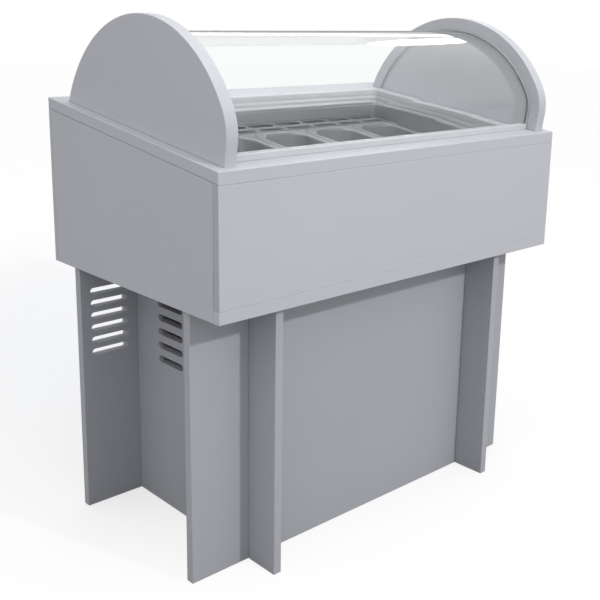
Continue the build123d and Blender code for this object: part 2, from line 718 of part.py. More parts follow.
def bracket_screw_seats():
    seats = []
    half = BRACKET_SCREW_SPREAD / 2
    tray_y0, tray_y1 = tray_span()
    for side in (-1, 1):
        leg_x = side * (SIDE_INNER - ANGLE_T)
        top_x = side * (SIDE_INNER - BRACKET_SCREW_OFFSET)
        for y in BRACKET_YS:
            for dy in (-half, half):
                seats.append(((leg_x, y + dy, CASE_BOTTOM_Z - BRACKET_SCREW_OFFSET), (-side, 0, 0)))
                seats.append(((top_x, y + dy, CASE_BOTTOM_Z - ANGLE_T), (0, 0, -1)))
        for y in (tray_y0 + BRACKET_L, tray_y1 - BRACKET_L):
            seats.append(((leg_x, y, TRAY_Z - TRAY_ANGLE_LEG / 2 - ANGLE_T), (-side, 0, 0)))
    return seats


def rear_screw_seats():
    y = HALF_D
    x_side = HALF_W - PANEL_T / 2
    z_base = CASE_BOTTOM_Z + BASE_T / 2
    side_zs = [CASE_BOTTOM_Z + CASE_REAR_H * share for share in REAR_SCREW_RISES]
    seats = [(side * x_side, y, z) for side in (-1, 1) for z in side_zs]
    return seats + [(x_side * share, y, z_base) for share in REAR_SCREW_SPREAD]


# Machine compartment
def machine_tray():
    half = SIDE_INNER - TRAY_EDGE_GAP
    tray = block(-half, half, *tray_span(), TRAY_Z, TRAY_TOP)
    for x, y in foot_bolts():
        tray -= rod((x, y, TRAY_Z - 1), (0, 0, 1), BOLT_D + 2 * SCREW_FIT, TRAY_T + 2)
    return tray


def foot_bolts():
    xs = (COMPRESSOR_X - FOOT_BOLT_X / 2, COMPRESSOR_X + FOOT_BOLT_X / 2)
    ys = (COMPRESSOR_Y - FOOT_BOLT_Y / 2, COMPRESSOR_Y + FOOT_BOLT_Y / 2)
    return [(x, y) for x in xs for y in ys]


def stub_place(dy):
    return COMPRESSOR_X + STUB_X, COMPRESSOR_Y + dy


def compressor():
    shoulder = COMPRESSOR_H - COMPRESSOR_DOME
    shell = Pos(0, 0, COMPRESSOR_H / 2) * Cylinder(COMPRESSOR_R, COMPRESSOR_H)
    shell = fillet(shell.edges().group_by(Axis.Z)[-1], COMPRESSOR_DOME)
    shell = Pos(COMPRESSOR_X, COMPRESSOR_Y, COMPRESSOR_Z) * shell
    plate = Pos(COMPRESSOR_X, COMPRESSOR_Y, COMPRESSOR_Z - FOOT_PLATE_T / 2) * Box(
        FOOT_PLATE_L, FOOT_PLATE_W, FOOT_PLATE_T
    )
    shell += plate
    for dy, diameter in ((SUCTION_STUB_Y, SUCTION_D), (DISCHARGE_STUB_Y, LINE_D)):
        x, y = stub_place(dy)
        z0 = COMPRESSOR_Z + shoulder
        shell += rod((x, y, z0), (0, 0, 1), diameter, STUB_TOP - z0)
    hole = BOLT_D + 2 * SCREW_FIT
    for x, y in foot_bolts():
        shell -= rod((x, y, COMPRESSOR_Z - FOOT_PLATE_T - 1), (0, 0, 1), hole, FOOT_PLATE_T + 2)
    return shell


def compressor_grommets():
    rings = []
    for x, y in foot_bolts():
        ring = rod((x, y, TRAY_TOP), (0, 0, 1), GROMMET_D, GROMMET_H)
        rings.append(ring - rod((x, y, TRAY_Z), (0, 0, 1), BOLT_D + 2 * SCREW_FIT, 2 * GROMMET_H))
    return group(rings)


def compressor_bolts():
    bolts = []
    for x, y in foot_bolts():
        head = rod((x, y, COMPRESSOR_Z), (0, 0, 1), BOLT_HEAD_D, BOLT_HEAD_H)
        drop = COMPRESSOR_Z - TRAY_Z + BOLT_D
        bolts.append(head + rod((x, y, COMPRESSOR_Z), (0, 0, -1), BOLT_D, drop))
    return group(bolts)


def terminal_cover():
    y_face = COMPRESSOR_Y - COMPRESSOR_R
    z0 = COMPRESSOR_Z + COMPRESSOR_H / 4
    half = TERMINAL_W / 2
    y_span = (y_face - TERMINAL_D, y_face + TERMINAL_LAP)
    cover = block(COMPRESSOR_X - half, COMPRESSOR_X + half, *y_span, z0, z0 + TERMINAL_H)
    shell_d = 2 * (COMPRESSOR_R + JOINT_GAP)
    return cover - rod((COMPRESSOR_X, COMPRESSOR_Y, z0 - 1), (0, 0, 1), shell_d, TERMINAL_H + 2)


def condenser_tube_heights():
    step = CONDENSER_SIZE / CONDENSER_ROWS
    return [TRAY_TOP + JOINT_GAP + step * (row + 0.5) for row in range(CONDENSER_ROWS)]


def condenser():
    x0, x1 = CONDENSER_X, CONDENSER_X + CONDENSER_T
    y0 = FAN_Y - CONDENSER_SIZE / 2
    z0 = TRAY_TOP + JOINT_GAP
    count = int(CONDENSER_SIZE / FIN_PITCH) + 1
    fin_ys = [y0 + i * FIN_PITCH for i in range(count)]
    core = Part() + [block(x0, x1, y, y + FIN_T, z0, z0 + CONDENSER_SIZE) for y in fin_ys]
    x_mid = (x0 + x1) / 2
    for z in condenser_tube_heights():
        core += rod((x_mid, y0 - FIN_PITCH, z), (0, 1, 0), CONDENSER_TUBE_D, CONDENSER_SIZE + 2 * FIN_PITCH)
    for z in (condenser_tube_heights()[0], condenser_tube_heights()[-1]):
        core += rod((x_mid, y0, z), (0, -1, 0), LINE_D, CONDENSER_STUB)
    return core


def fan_shroud():
    half = CONDENSER_SIZE / 2
    y0, y1 = FAN_Y - half, FAN_Y + half
    z0, z1 = FAN_Z - half, FAN_Z + half
    far = CONDENSER_X - JOINT_GAP
    hood = block(SHROUD_X, far, y0, y1, z0, z1)
    hood -= block(SHROUD_X + SHROUD_T, far + 1, y0 + SHROUD_T, y1 - SHROUD_T, z0 + SHROUD_T, z1 - SHROUD_T)
    hood -= rod((SHROUD_X - 1, FAN_Y, FAN_Z), (1, 0, 0), FAN_D + 2 * FAN_TIP_GAP, SHROUD_T + 2)
    return hood


# Fan on the hood's face: motor in front of the opening on crossed arms, blade inside the opening
def motor_face_x():
    return SHROUD_X - FAN_HUB_L / 2 - ANGLE_T


def fan_bracket():
    reach = CONDENSER_SIZE / 2
    x0 = motor_face_x()
    arms = block(x0, x0 + ANGLE_T, FAN_Y - reach, FAN_Y + reach, FAN_Z - ARM_W / 2, FAN_Z + ARM_W / 2)
    for side in (-1, 1):
        y0, y1 = sorted((FAN_Y + side * reach, FAN_Y + side * (reach - ANGLE_T)))
        arms += block(x0, SHROUD_X, y0, y1, FAN_Z - ARM_W / 2, FAN_Z + ARM_W / 2)
    arms += rod((x0, FAN_Y, FAN_Z), (1, 0, 0), MOTOR_D, ANGLE_T)
    return arms - rod((x0 - 1, FAN_Y, FAN_Z), (1, 0, 0), SHAFT_D + 2 * CUTOUT_GAP, ANGLE_T + 2)


def fan_motor():
    x0 = motor_face_x()
    can = rod((x0, FAN_Y, FAN_Z), (-1, 0, 0), MOTOR_D, MOTOR_L)
    return can - rod((x0 + 1, FAN_Y, FAN_Z), (-1, 0, 0), SHAFT_D + 2 * SHAFT_FIT, FAN_SHAFT_IN + 2)


def fan_blade():
    x0 = motor_face_x() + ANGLE_T + FAN_END_GAP
    hub = rod((x0, FAN_Y, FAN_Z), (1, 0, 0), FAN_HUB_D, FAN_HUB_L)
    span = (FAN_D - FAN_HUB_D) / 2 + FAN_BLADE_ROOT
    middle = x0 + FAN_HUB_L / 2
    for i in range(FAN_BLADES):
        vane = Box(FAN_BLADE_T, FAN_BLADE_W, span)
        vane = Rot(0, 0, FAN_BLADE_TWIST) * vane
        vane = Pos(0, 0, FAN_HUB_D / 2 - FAN_BLADE_ROOT + span / 2) * vane
        hub += Pos(middle, FAN_Y, FAN_Z) * Rot(i * 360 / FAN_BLADES, 0, 0) * vane
    hub &= rod((x0 - FAN_HUB_L, FAN_Y, FAN_Z), (1, 0, 0), FAN_D, 3 * FAN_HUB_L)
    return hub + rod((x0, FAN_Y, FAN_Z), (-1, 0, 0), SHAFT_D, ANGLE_T + FAN_END_GAP + FAN_SHAFT_IN)


# Pipework, each line face to face with what it joins
def condenser_stub(z):
    return (CONDENSER_X + CONDENSER_T / 2, FAN_Y - CONDENSER_SIZE / 2 - CONDENSER_STUB, z)


def discharge_line():
    x, y = stub_place(DISCHARGE_STUB_Y)
    end = condenser_stub(condenser_tube_heights()[-1])
    over = STUB_TOP + 3 * LINE_BEND
    points = [(x, y, STUB_TOP), (x, y, over), (x, DRIER_Y, over), (end[0], DRIER_Y, over)]
    points += [(end[0], DRIER_Y, end[2]), end]
    return tube(points, LINE_D, [LINE_BEND, LINE_BEND, LINE_BEND, LINE_D])


def drier_span():
    end = condenser_stub(0)[0] - 3 * LINE_BEND
    return end - DRIER_L, end


def liquid_line():
    start = condenser_stub(condenser_tube_heights()[0])
    points = [start, (start[0], DRIER_Y, start[2]), (drier_span()[1], DRIER_Y, DRIER_Z)]
    return tube(points, LINE_D, LINE_D)


def filter_drier():
    x0, x1 = drier_span()
    return rod((x0, DRIER_Y, DRIER_Z), (1, 0, 0), DRIER_D, x1 - x0)


def drier_clip():
    x_mid = sum(drier_span()) / 2
    x0, x1 = x_mid - CLIP_W / 2, x_mid + CLIP_W / 2
    half = DRIER_D / 2 + CLIP_T
    clip = block(x0, x1, DRIER_Y - half, DRIER_Y + half, TRAY_TOP, DRIER_Z)
    return clip - rod((x0 - 1, DRIER_Y, DRIER_Z), (1, 0, 0), DRIER_D + 2 * JOINT_GAP, CLIP_W + 2)


def capillary_line():
    start = (drier_span()[0], DRIER_Y, DRIER_Z)
    end = deck_point(COIL_STUB_X, COIL_FRONT_V, coil_end(COIL_FRONT_V))
    below = deck_point(COIL_STUB_X, COIL_FRONT_V, coil_end(COIL_FRONT_V) - 4 * LINE_BEND)
    points = [start, (COIL_STUB_X, DRIER_Y, DRIER_Z), tuple(below), tuple(end)]
    return tube(points, CAPILLARY_D, LINE_BEND)


def suction_line():
    x, y = stub_place(SUCTION_STUB_Y)
    start = deck_point(COIL_STUB_X, COIL_REAR_V, coil_end(COIL_REAR_V))
    below = deck_point(COIL_STUB_X, COIL_REAR_V, coil_end(COIL_REAR_V) - 4 * LINE_BEND)
    points = [tuple(start), tuple(below), (x, y, STUB_TOP + 6 * LINE_BEND), (x, y, STUB_TOP)]
    return tube(points, SUCTION_D, LINE_BEND)


def electrical_box():
    depth, length, height = ELECTRICAL_BOX
    x1 = SIDE_INNER
    y0, z0 = ELECTRICAL_BOX_Y - length / 2, ELECTRICAL_BOX_Z - height / 2
    wall = ELECTRICAL_BOX_WALL
    shell = block(x1 - depth, x1, y0, y0 + length, z0, z0 + height)
    hollow_y = (y0 + wall, y0 + length - wall)
    return shell - block(x1 - depth + wall, x1 + 1, *hollow_y, z0 + wall, z0 + height - wall)


# Service side of the rear board: control plate, switch, thermostat, gland
def control_screw_seats():
    dx, dz = PLATE_W / 2 - SCREW_HEAD_D, PLATE_H / 2 - SCREW_HEAD_D
    y = PLATE_Y + PLATE_T
    return [((PLATE_X + sx * dx, y, PLATE_Z + sz * dz), (0, 1, 0)) for sx in (-1, 1) for sz in (-1, 1)]


def control_plate():
    x0, x1 = PLATE_X - PLATE_W / 2, PLATE_X + PLATE_W / 2
    plate = block(x0, x1, PLATE_Y, PLATE_Y + PLATE_T, PLATE_Z - PLATE_H / 2, PLATE_Z + PLATE_H / 2)
    half_w = SWITCH_BODY_W / 2 + JOINT_GAP
    half_h = SWITCH_BODY_H / 2 + JOINT_GAP
    through = (PLATE_Y - 1, PLATE_Y + PLATE_T + 1)
    plate -= block(SWITCH_X - half_w, SWITCH_X + half_w, *through, PLATE_Z - half_h, PLATE_Z + half_h)
    shaft_hole = SHAFT_D + 2 * CUTOUT_GAP
    return plate - rod((THERMOSTAT_X, through[0], PLATE_Z), (0, 1, 0), shaft_hole, PLATE_T + 2)


def pivot_y():
    return PLATE_Y + PLATE_T + SWITCH_FLANGE - PIVOT_DEPTH


def switch_housing():
    y_seat = PLATE_Y + PLATE_T
    y_face = y_seat + SWITCH_FLANGE
    half_w, half_h = SWITCH_BODY_W / 2, SWITCH_BODY_H / 2
    x0, x1, z0, z1 = SWITCH_X - half_w, SWITCH_X + half_w, PLATE_Z - half_h, PLATE_Z + half_h
    rim = SWITCH_FLANGE
    housing = block(x0, x1, y_seat - SWITCH_BODY_D, y_face, z0, z1)
    housing += block(x0 - rim, x1 + rim, y_seat, y_face, z0 - rim, z1 + rim)
    wall = SWITCH_WALL
    cavity_half = ROCKER_HALF + CAVITY_GAP
    cavity_z = (PLATE_Z - cavity_half, PLATE_Z + cavity_half)
    housing -= block(x0 + wall, x1 - wall, y_face - CAVITY_D, y_face + 1, *cavity_z)
    reach = half_w - wall / 3
    pivot_hole = PIVOT_D + 2 * SHAFT_FIT
    return housing - rod((SWITCH_X - reach, pivot_y(), PLATE_Z), (1, 0, 0), pivot_hole, 2 * reach)


def switch_rocker():
    half = SWITCH_BODY_W / 2 - SWITCH_WALL - ROCKER_SIDE_GAP
    reach = SWITCH_BODY_W / 2 - SWITCH_WALL / 3 - ROCKER_SIDE_GAP
    tip, dip, belly = PIVOT_DEPTH + ROCKER_LIFT, PIVOT_DEPTH - ROCKER_DIP, -PIVOT_DEPTH
    foot = ROCKER_HALF - ROCKER_TAPER
    outline = [(tip, -ROCKER_HALF), (dip, 0), (tip, ROCKER_HALF)]
    outline += [(belly, foot), (belly - ROCKER_BELLY, 0), (belly, -foot)]
    key = side_prism(outline, -half, half) + rod((-reach, 0, 0), (1, 0, 0), PIVOT_D, 2 * reach)
    return Pos(SWITCH_X, pivot_y(), PLATE_Z) * Rot(-ROCKER_TILT, 0, 0) * key


def thermostat_body():
    half_w, half_h = THERMOSTAT_W / 2, THERMOSTAT_H / 2
    x0, x1 = THERMOSTAT_X - half_w, THERMOSTAT_X + half_w
    body = block(x0, x1, PLATE_Y - THERMOSTAT_D, PLATE_Y, PLATE_Z - half_h, PLATE_Z + half_h)
    bore = (THERMOSTAT_X, PLATE_Y - THERMOSTAT_D / 2, PLATE_Z)
    return body - rod(bore, (0, 1, 0), SHAFT_D + 2 * SHAFT_FIT, THERMOSTAT_D)


def knob_back_y():
    return PLATE_Y + PLATE_T + KNOB_GAP


def thermostat_shaft():
    y0 = PLATE_Y - THERMOSTAT_D / 2 + JOINT_GAP
    y1 = knob_back_y() + KNOB_H - KNOB_SKIN - JOINT_GAP
    return rod((THERMOSTAT_X, y0, PLATE_Z), (0, 1, 0), SHAFT_D, y1 - y0)


def thermostat_knob():
    y0 = knob_back_y()
    knob = rod((THERMOSTAT_X, y0, PLATE_Z), (0, 1, 0), KNOB_D, KNOB_H / 2)
    grip_x = (THERMOSTAT_X - KNOB_GRIP_W / 2, THERMOSTAT_X + KNOB_GRIP_W / 2)
    grip = block(*grip_x, y0, y0 + KNOB_H, PLATE_Z - KNOB_D / 2, PLATE_Z + KNOB_D / 2)
    knob += grip & rod((THERMOSTAT_X, y0, PLATE_Z), (0, 1, 0), KNOB_D, KNOB_H)
    depth = KNOB_H - KNOB_SKIN + 1
    return knob - rod((THERMOSTAT_X, y0 - 1, PLATE_Z), (0, 1, 0), SHAFT_D + 2 * SHAFT_FIT, depth)


def cable_gland():
    seat = (GLAND_X, PLATE_Y, GLAND_Z)
    inner = REAR_BOARD_Y - 2 * GLAND_HEX_T
    body = hexagon(seat, (0, 1, 0), GLAND_HEX, GLAND_HEX_T)
    body += rod((GLAND_X, PLATE_Y + GLAND_HEX_T, GLAND_Z), (0, 1, 0), GLAND_NOSE_D, GLAND_NOSE)
    body += rod((GLAND_X, inner, GLAND_Z), (0, 1, 0), GLAND_D, PLATE_Y - inner)
    return body - rod((GLAND_X, inner - 1, GLAND_Z), (0, 1, 0), GLAND_BORE, 4 * GLAND_NOSE)


def gland_nut():
    nut = hexagon((GLAND_X, REAR_BOARD_Y, GLAND_Z), (0, -1, 0), GLAND_HEX, GLAND_HEX_T)
    bore = GLAND_D + 2 * SCREW_FIT
    return nut - rod((GLAND_X, REAR_BOARD_Y + 1, GLAND_Z), (0, -1, 0), bore, 2 * GLAND_HEX_T)


def bored(shape, seats, cutter):
    for seat in seats:
        shape = shape - cutter(seat)
    return shape


# Assembly
def bracket_hole(seat):
    return pan_head(*seat, grow=SCREW_FIT)


def rear_hole(seat):
    return flush_head(seat, (0, 1, 0), PANEL_SCREW_L, grow=SCREW_FIT)


bracket_seats = bracket_screw_seats()
control_seats = control_screw_seats()
rear_seats = rear_screw_seats()
left_seats = [seat for seat in bracket_seats if seat[0][0] < 0]
right_seats = [seat for seat in bracket_seats if seat[0][0] > 0]

parts["pedestal_front_board"] = long_board(FRONT_BOARD_Y)
parts["pedestal_rear_board"] = bored(rear_board(), control_seats, bracket_hole)
parts["pedestal_left_board"] = bored(side_board(-1), left_seats, bracket_hole)
parts["pedestal_right_board"] = bored(side_board(1), right_seats, bracket_hole)
base_board = bored(case_base_board(), bracket_seats, bracket_hole)
parts["case_base_board"] = bored(base_board, rear_seats, rear_hole)
parts["case_front_panel"] = case_front_panel()
parts["case_left_panel"] = bored(case_side_panel(-1), rear_seats, rear_hole)
parts["case_right_panel"] = bored(case_side_panel(1), rear_seats, rear_hole)
parts["case_rear_panel"] = bored(case_rear_panel(), rear_seats, rear_hole)
parts["rear_panel_screws"] = group([flush_head(seat, (0, 1, 0), PANEL_SCREW_L) for seat in rear_seats])
parts["deck_frame"] = deck_frame()
parts["well_rim"] = well_rim()
parts["well_liner"] = well_liner()
parts["insulation"] = insulation()
parts["evaporator_coil"] = evaporator_coil()
parts["drain_tube"] = drain_tube()
parts["pan_rail_front"] = pan_rail_front()
parts["pan_rail_rear"] = pan_rail_rear()
parts["air_grille"] = air_grille()
for number in range(PAN_COUNT):
    parts[f"pan_{number + 1}"] = pan(number)
parts["end_panel_left"] = end_panel(-1)
parts["end_panel_right"] = end_panel(1)
parts["end_panel_dowels"] = end_panel_dowels()
parts["glass_seal_left"] = glass_seal(-1)
parts["glass_seal_right"] = glass_seal(1)
parts["canopy_glass"] = canopy_glass()
parts["front_rail"] = front_rail()
case_brackets = [bracket(side, y) for side in (-1, 1) for y in BRACKET_YS]
parts["case_brackets"] = group([bored(angle, bracket_seats, bracket_hole) for angle in case_brackets])
tray_angles = [tray_angle(side) for side in (-1, 1)]
parts["tray_brackets"] = group([bored(angle, bracket_seats, bracket_hole) for angle in tray_angles])
parts["bracket_screws"] = group([pan_head(*seat) for seat in bracket_seats])
parts["machine_tray"] = machine_tray()
parts["compressor"] = compressor()
parts["compressor_grommets"] = compressor_grommets()
parts["compressor_bolts"] = compressor_bolts()
parts["terminal_cover"] = terminal_cover()
parts["condenser"] = condenser()
parts["fan_shroud"] = fan_shroud()
parts["fan_bracket"] = fan_bracket()
parts["fan_motor"] = fan_motor()
parts["fan_blade"] = fan_blade()
parts["discharge_line"] = discharge_line()
parts["liquid_line"] = liquid_line()
parts["filter_drier"] = filter_drier()
parts["drier_clip"] = drier_clip()
parts["capillary_line"] = capillary_line()
parts["suction_line"] = suction_line()
parts["electrical_box"] = electrical_box()
parts["control_plate"] = bored(control_plate(), control_seats, bracket_hole)
parts["control_screws"] = group([pan_head(*seat) for seat in control_seats])
parts["switch_housing"] = switch_housing()
parts["switch_rocker"] = switch_rocker()
parts["thermostat_body"] = thermostat_body()
parts["thermostat_shaft"] = thermostat_shaft()
parts["thermostat_knob"] = thermostat_knob()
parts["cable_gland"] = cable_gland()
parts["gland_nut"] = gland_nut()

os.makedirs("parts", exist_ok=True)
for node, shape in parts.items():
    export_step(shape, f"parts/{node}.step")
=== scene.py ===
import json
import math
import bpy
import bmesh
from mathutils import Matrix, Vector

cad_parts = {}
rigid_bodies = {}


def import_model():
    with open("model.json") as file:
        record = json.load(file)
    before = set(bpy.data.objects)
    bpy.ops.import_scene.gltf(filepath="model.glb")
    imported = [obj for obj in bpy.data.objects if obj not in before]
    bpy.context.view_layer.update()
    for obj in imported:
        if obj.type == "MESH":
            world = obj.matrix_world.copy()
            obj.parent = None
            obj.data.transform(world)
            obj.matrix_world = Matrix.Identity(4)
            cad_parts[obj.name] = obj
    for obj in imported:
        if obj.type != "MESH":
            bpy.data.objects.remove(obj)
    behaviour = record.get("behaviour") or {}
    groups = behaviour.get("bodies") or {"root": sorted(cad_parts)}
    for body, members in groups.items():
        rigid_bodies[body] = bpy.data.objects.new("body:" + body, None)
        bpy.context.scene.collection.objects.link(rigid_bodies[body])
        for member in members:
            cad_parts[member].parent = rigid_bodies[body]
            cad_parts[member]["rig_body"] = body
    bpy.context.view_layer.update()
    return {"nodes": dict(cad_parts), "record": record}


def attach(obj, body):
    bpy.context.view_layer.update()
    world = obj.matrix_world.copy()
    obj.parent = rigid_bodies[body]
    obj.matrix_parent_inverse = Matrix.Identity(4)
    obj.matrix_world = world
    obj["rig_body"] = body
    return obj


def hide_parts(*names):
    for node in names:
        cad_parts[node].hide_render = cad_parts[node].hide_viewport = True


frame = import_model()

nodes = frame["nodes"]
sceneNow = bpy.context.scene
sceneNow.view_settings.view_transform = "Standard"
print("frame loaded:", len(nodes), "nodes")

# the deck slopes down to the front: along it is y, square to it is z
deck = {"front": (0.0, -0.315, 0.888), "rise": 0.088, "run": 0.630}
deckTilt = math.atan2(deck["rise"], deck["run"])
deckPlace = Matrix.Translation(deck["front"]) @ Matrix.Rotation(deckTilt, 4, "X")


# Camera where the photograph was taken from
viewpoint = {"place": (-1.5345, -1.6506, 1.1605), "yaw": 42.147, "pitch": 13.626, "roll": -0.859,
             "focal": 943.643, "centreRow": 245.0, "frame": 600.0, "sensor": 36.0, "farthest": 100.0}


def makeCamera():
    yaw, pitch, roll = (math.radians(viewpoint[key]) for key in ("yaw", "pitch", "roll"))
    forward = Vector((math.sin(yaw) * math.cos(pitch), math.cos(yaw) * math.cos(pitch), -math.sin(pitch)))
    right = Vector((math.cos(yaw), -math.sin(yaw), 0.0))
    down = forward.cross(right)
    tiltedRight = right * math.cos(roll) + down * math.sin(roll)
    tiltedDown = down * math.cos(roll) - right * math.sin(roll)
    turn = Matrix((tiltedRight, -tiltedDown, -forward)).transposed()
    lens = bpy.data.cameras.new("viewpoint")
    lens.sensor_width = viewpoint["sensor"]
    lens.lens = viewpoint["focal"] / viewpoint["frame"] * viewpoint["sensor"]
    lens.shift_y = (viewpoint["centreRow"] - viewpoint["frame"] / 2) / viewpoint["frame"]
    lens.clip_end = viewpoint["farthest"]
    camera = bpy.data.objects.new("viewpoint", lens)
    camera.matrix_world = Matrix.Translation(viewpoint["place"]) @ turn.to_4x4()
    sceneNow.collection.objects.link(camera)
    sceneNow.camera = camera


# Finishes
def newFinish(name):
    finish = bpy.data.materials.new(name)
    finish.use_nodes = True
    tree = finish.node_tree
    return finish, tree, tree.nodes["Principled BSDF"]


def addNode(tree, kind, **values):
    node = tree.nodes.new(kind)
    for key, value in values.items():
        setattr(node, key, value)
    return node


def noiseOn(tree, scale, detail, stretch=(1, 1, 1)):
    place = addNode(tree, "ShaderNodeTexCoord")
    mapping = addNode(tree, "ShaderNodeMapping")
    mapping.inputs["Scale"].default_value = stretch
    noise = addNode(tree, "ShaderNodeTexNoise")
    noise.inputs["Scale"].default_value = scale
    noise.inputs["Detail"].default_value = detail
    tree.links.new(place.outputs["Object"], mapping.inputs["Vector"])
    tree.links.new(mapping.outputs["Vector"], noise.inputs["Vector"])
    return noise.outputs["Fac"]


def rampOn(tree, source, low, high, start=0.3, stop=0.7):
    ramp = addNode(tree, "ShaderNodeValToRGB")
    ramp.color_ramp.elements[0].position = start
    ramp.color_ramp.elements[0].color = (*low, 1.0)
    ramp.color_ramp.elements[1].position = stop
    ramp.color_ramp.elements[1].color = (*high, 1.0)
    tree.links.new(source, ramp.inputs["Fac"])
    return ramp.outputs["Color"]


def rangeOn(tree, source, low, high, start=0.3, stop=0.7):
    span = addNode(tree, "ShaderNodeMapRange")
    for socket, value in (("From Min", start), ("From Max", stop), ("To Min", low), ("To Max", high)):
        span.inputs[socket].default_value = value
    tree.links.new(source, span.inputs["Value"])
    return span.outputs["Result"]


def mathOn(tree, operation, first, second):
    node = addNode(tree, "ShaderNodeMath", operation=operation)
    tree.links.new(first, node.inputs[0])
    tree.links.new(second, node.inputs[1])
    return node.outputs[0]


def mixColours(tree, factor, first, second, blend="MIX"):
    mix = addNode(tree, "ShaderNodeMix", data_type="RGBA", blend_type=blend)
    for socket, value in ((0, factor), (6, first), (7, second)):  # its sockets for colours
        if isinstance(value, bpy.types.NodeSocket):
            tree.links.new(value, mix.inputs[socket])
        else:
            mix.inputs[socket].default_value = value
    return mix.outputs[2]


def mixShaders(tree, factor, first, second):
    mix = addNode(tree, "ShaderNodeMixShader")
    for socket, source in enumerate((factor, first, second)):
        tree.links.new(source, mix.inputs[socket])
    return mix.outputs["Shader"]


def bumpOn(tree, shader, source, strength, distance):
    bump = addNode(tree, "ShaderNodeBump")
    bump.inputs["Strength"].default_value = strength
    bump.inputs["Distance"].default_value = distance
    tree.links.new(source, bump.inputs["Height"])
    tree.links.new(bump.outputs["Normal"], shader.inputs["Normal"])


def shaded(colour, share):
    return tuple(min(1.0, channel * share) for channel in colour)


def grey(level):
    return (level, level, level, 1.0)


# the eased edges are lighter in patches, partly rubbed wear and partly a painted highlight, and the least
# share set here is left between the patches
noises = {"grainDetail": 4.0, "cloudDetail": 2.0, "wearAndHighlightScale": 60.0, "wearAndHighlightDetail": 3.0, "wearAndHighlightLeast": 0.35}


# one finish from two noises: a broad cloud in the tone, a fine grain in tone, roughness and bump
def grained(name, colour, rough, metal=0.0, spread=0.06, grain=400.0, stretch=(1, 1, 1), cloud=4.0,
            bump=0.1, depth=0.0002, wearAndHighlight=0.0, shine=0.5, banded=1.0):
    finish, tree, shader = newFinish(name)
    grainNoise = noiseOn(tree, grain, noises["grainDetail"], stretch)
    cloudNoise = noiseOn(tree, cloud, noises["cloudDetail"])
    tone = rampOn(tree, grainNoise, shaded(colour, 1 - spread), shaded(colour, 1 + spread))
    haze = rampOn(tree, cloudNoise, (1 - spread,) * 3, (1.0,) * 3)
    tone = mixColours(tree, 1.0, tone, haze, "MULTIPLY")
    # eased edges made lighter in patches: rubbed wear and a painted highlight
    if wearAndHighlight:
        edgeWearAndHighlightMask = addNode(tree, "ShaderNodeAttribute", attribute_name="edge")
        wearAndHighlightNoise = noiseOn(tree, noises["wearAndHighlightScale"], noises["wearAndHighlightDetail"])
        patches = rangeOn(tree, wearAndHighlightNoise, noises["wearAndHighlightLeast"], 1.0)
        share = mathOn(tree, "MULTIPLY", edgeWearAndHighlightMask.outputs["Fac"], patches)
        tone = mixColours(tree, share, tone, (*shaded(colour, 1 + wearAndHighlight), 1.0))
    if banded < 1.0:  # edge band of a board's end
        band = addNode(tree, "ShaderNodeAttribute", attribute_name="band")
        tone = mixColours(tree, band.outputs["Fac"], tone, (*shaded(colour, banded), 1.0))
    tree.links.new(tone, shader.inputs["Base Color"])
    tree.links.new(rangeOn(tree, grainNoise, *rough), shader.inputs["Roughness"])
    shader.inputs["Metallic"].default_value = metal
    shader.inputs["Specular IOR Level"].default_value = shine
    bumpOn(tree, shader, grainNoise, bump, depth)
    return finish


# clear sheet: what lies in its shadow gets nearly all the light, and a thin film dulls it in places
clear = {"tint": (0.965, 0.977, 0.973), "shadow": (0.94, 0.947, 0.945), "bend": 1.46,
         "film": (0.0, 0.012), "filmScale": 3.0, "filmDetail": 2.0}


def clearSheet(name):
    finish, tree, shader = newFinish(name)
    shader.inputs["Base Color"].default_value = (*clear["tint"], 1.0)
    shader.inputs["IOR"].default_value = clear["bend"]
    shader.inputs["Transmission Weight"].default_value = 1.0
    film = noiseOn(tree, clear["filmScale"], clear["filmDetail"])
    tree.links.new(rangeOn(tree, film, *clear["film"]), shader.inputs["Roughness"])
    passing = addNode(tree, "ShaderNodeBsdfTransparent")
    passing.inputs["Color"].default_value = (*clear["shadow"], 1.0)
    path = addNode(tree, "ShaderNodeLightPath")
    surface = mixShaders(tree, path.outputs["Is Shadow Ray"], shader.outputs["BSDF"], passing.outputs["BSDF"])
    tree.links.new(surface, tree.nodes["Material Output"].inputs["Surface"])
    return finish
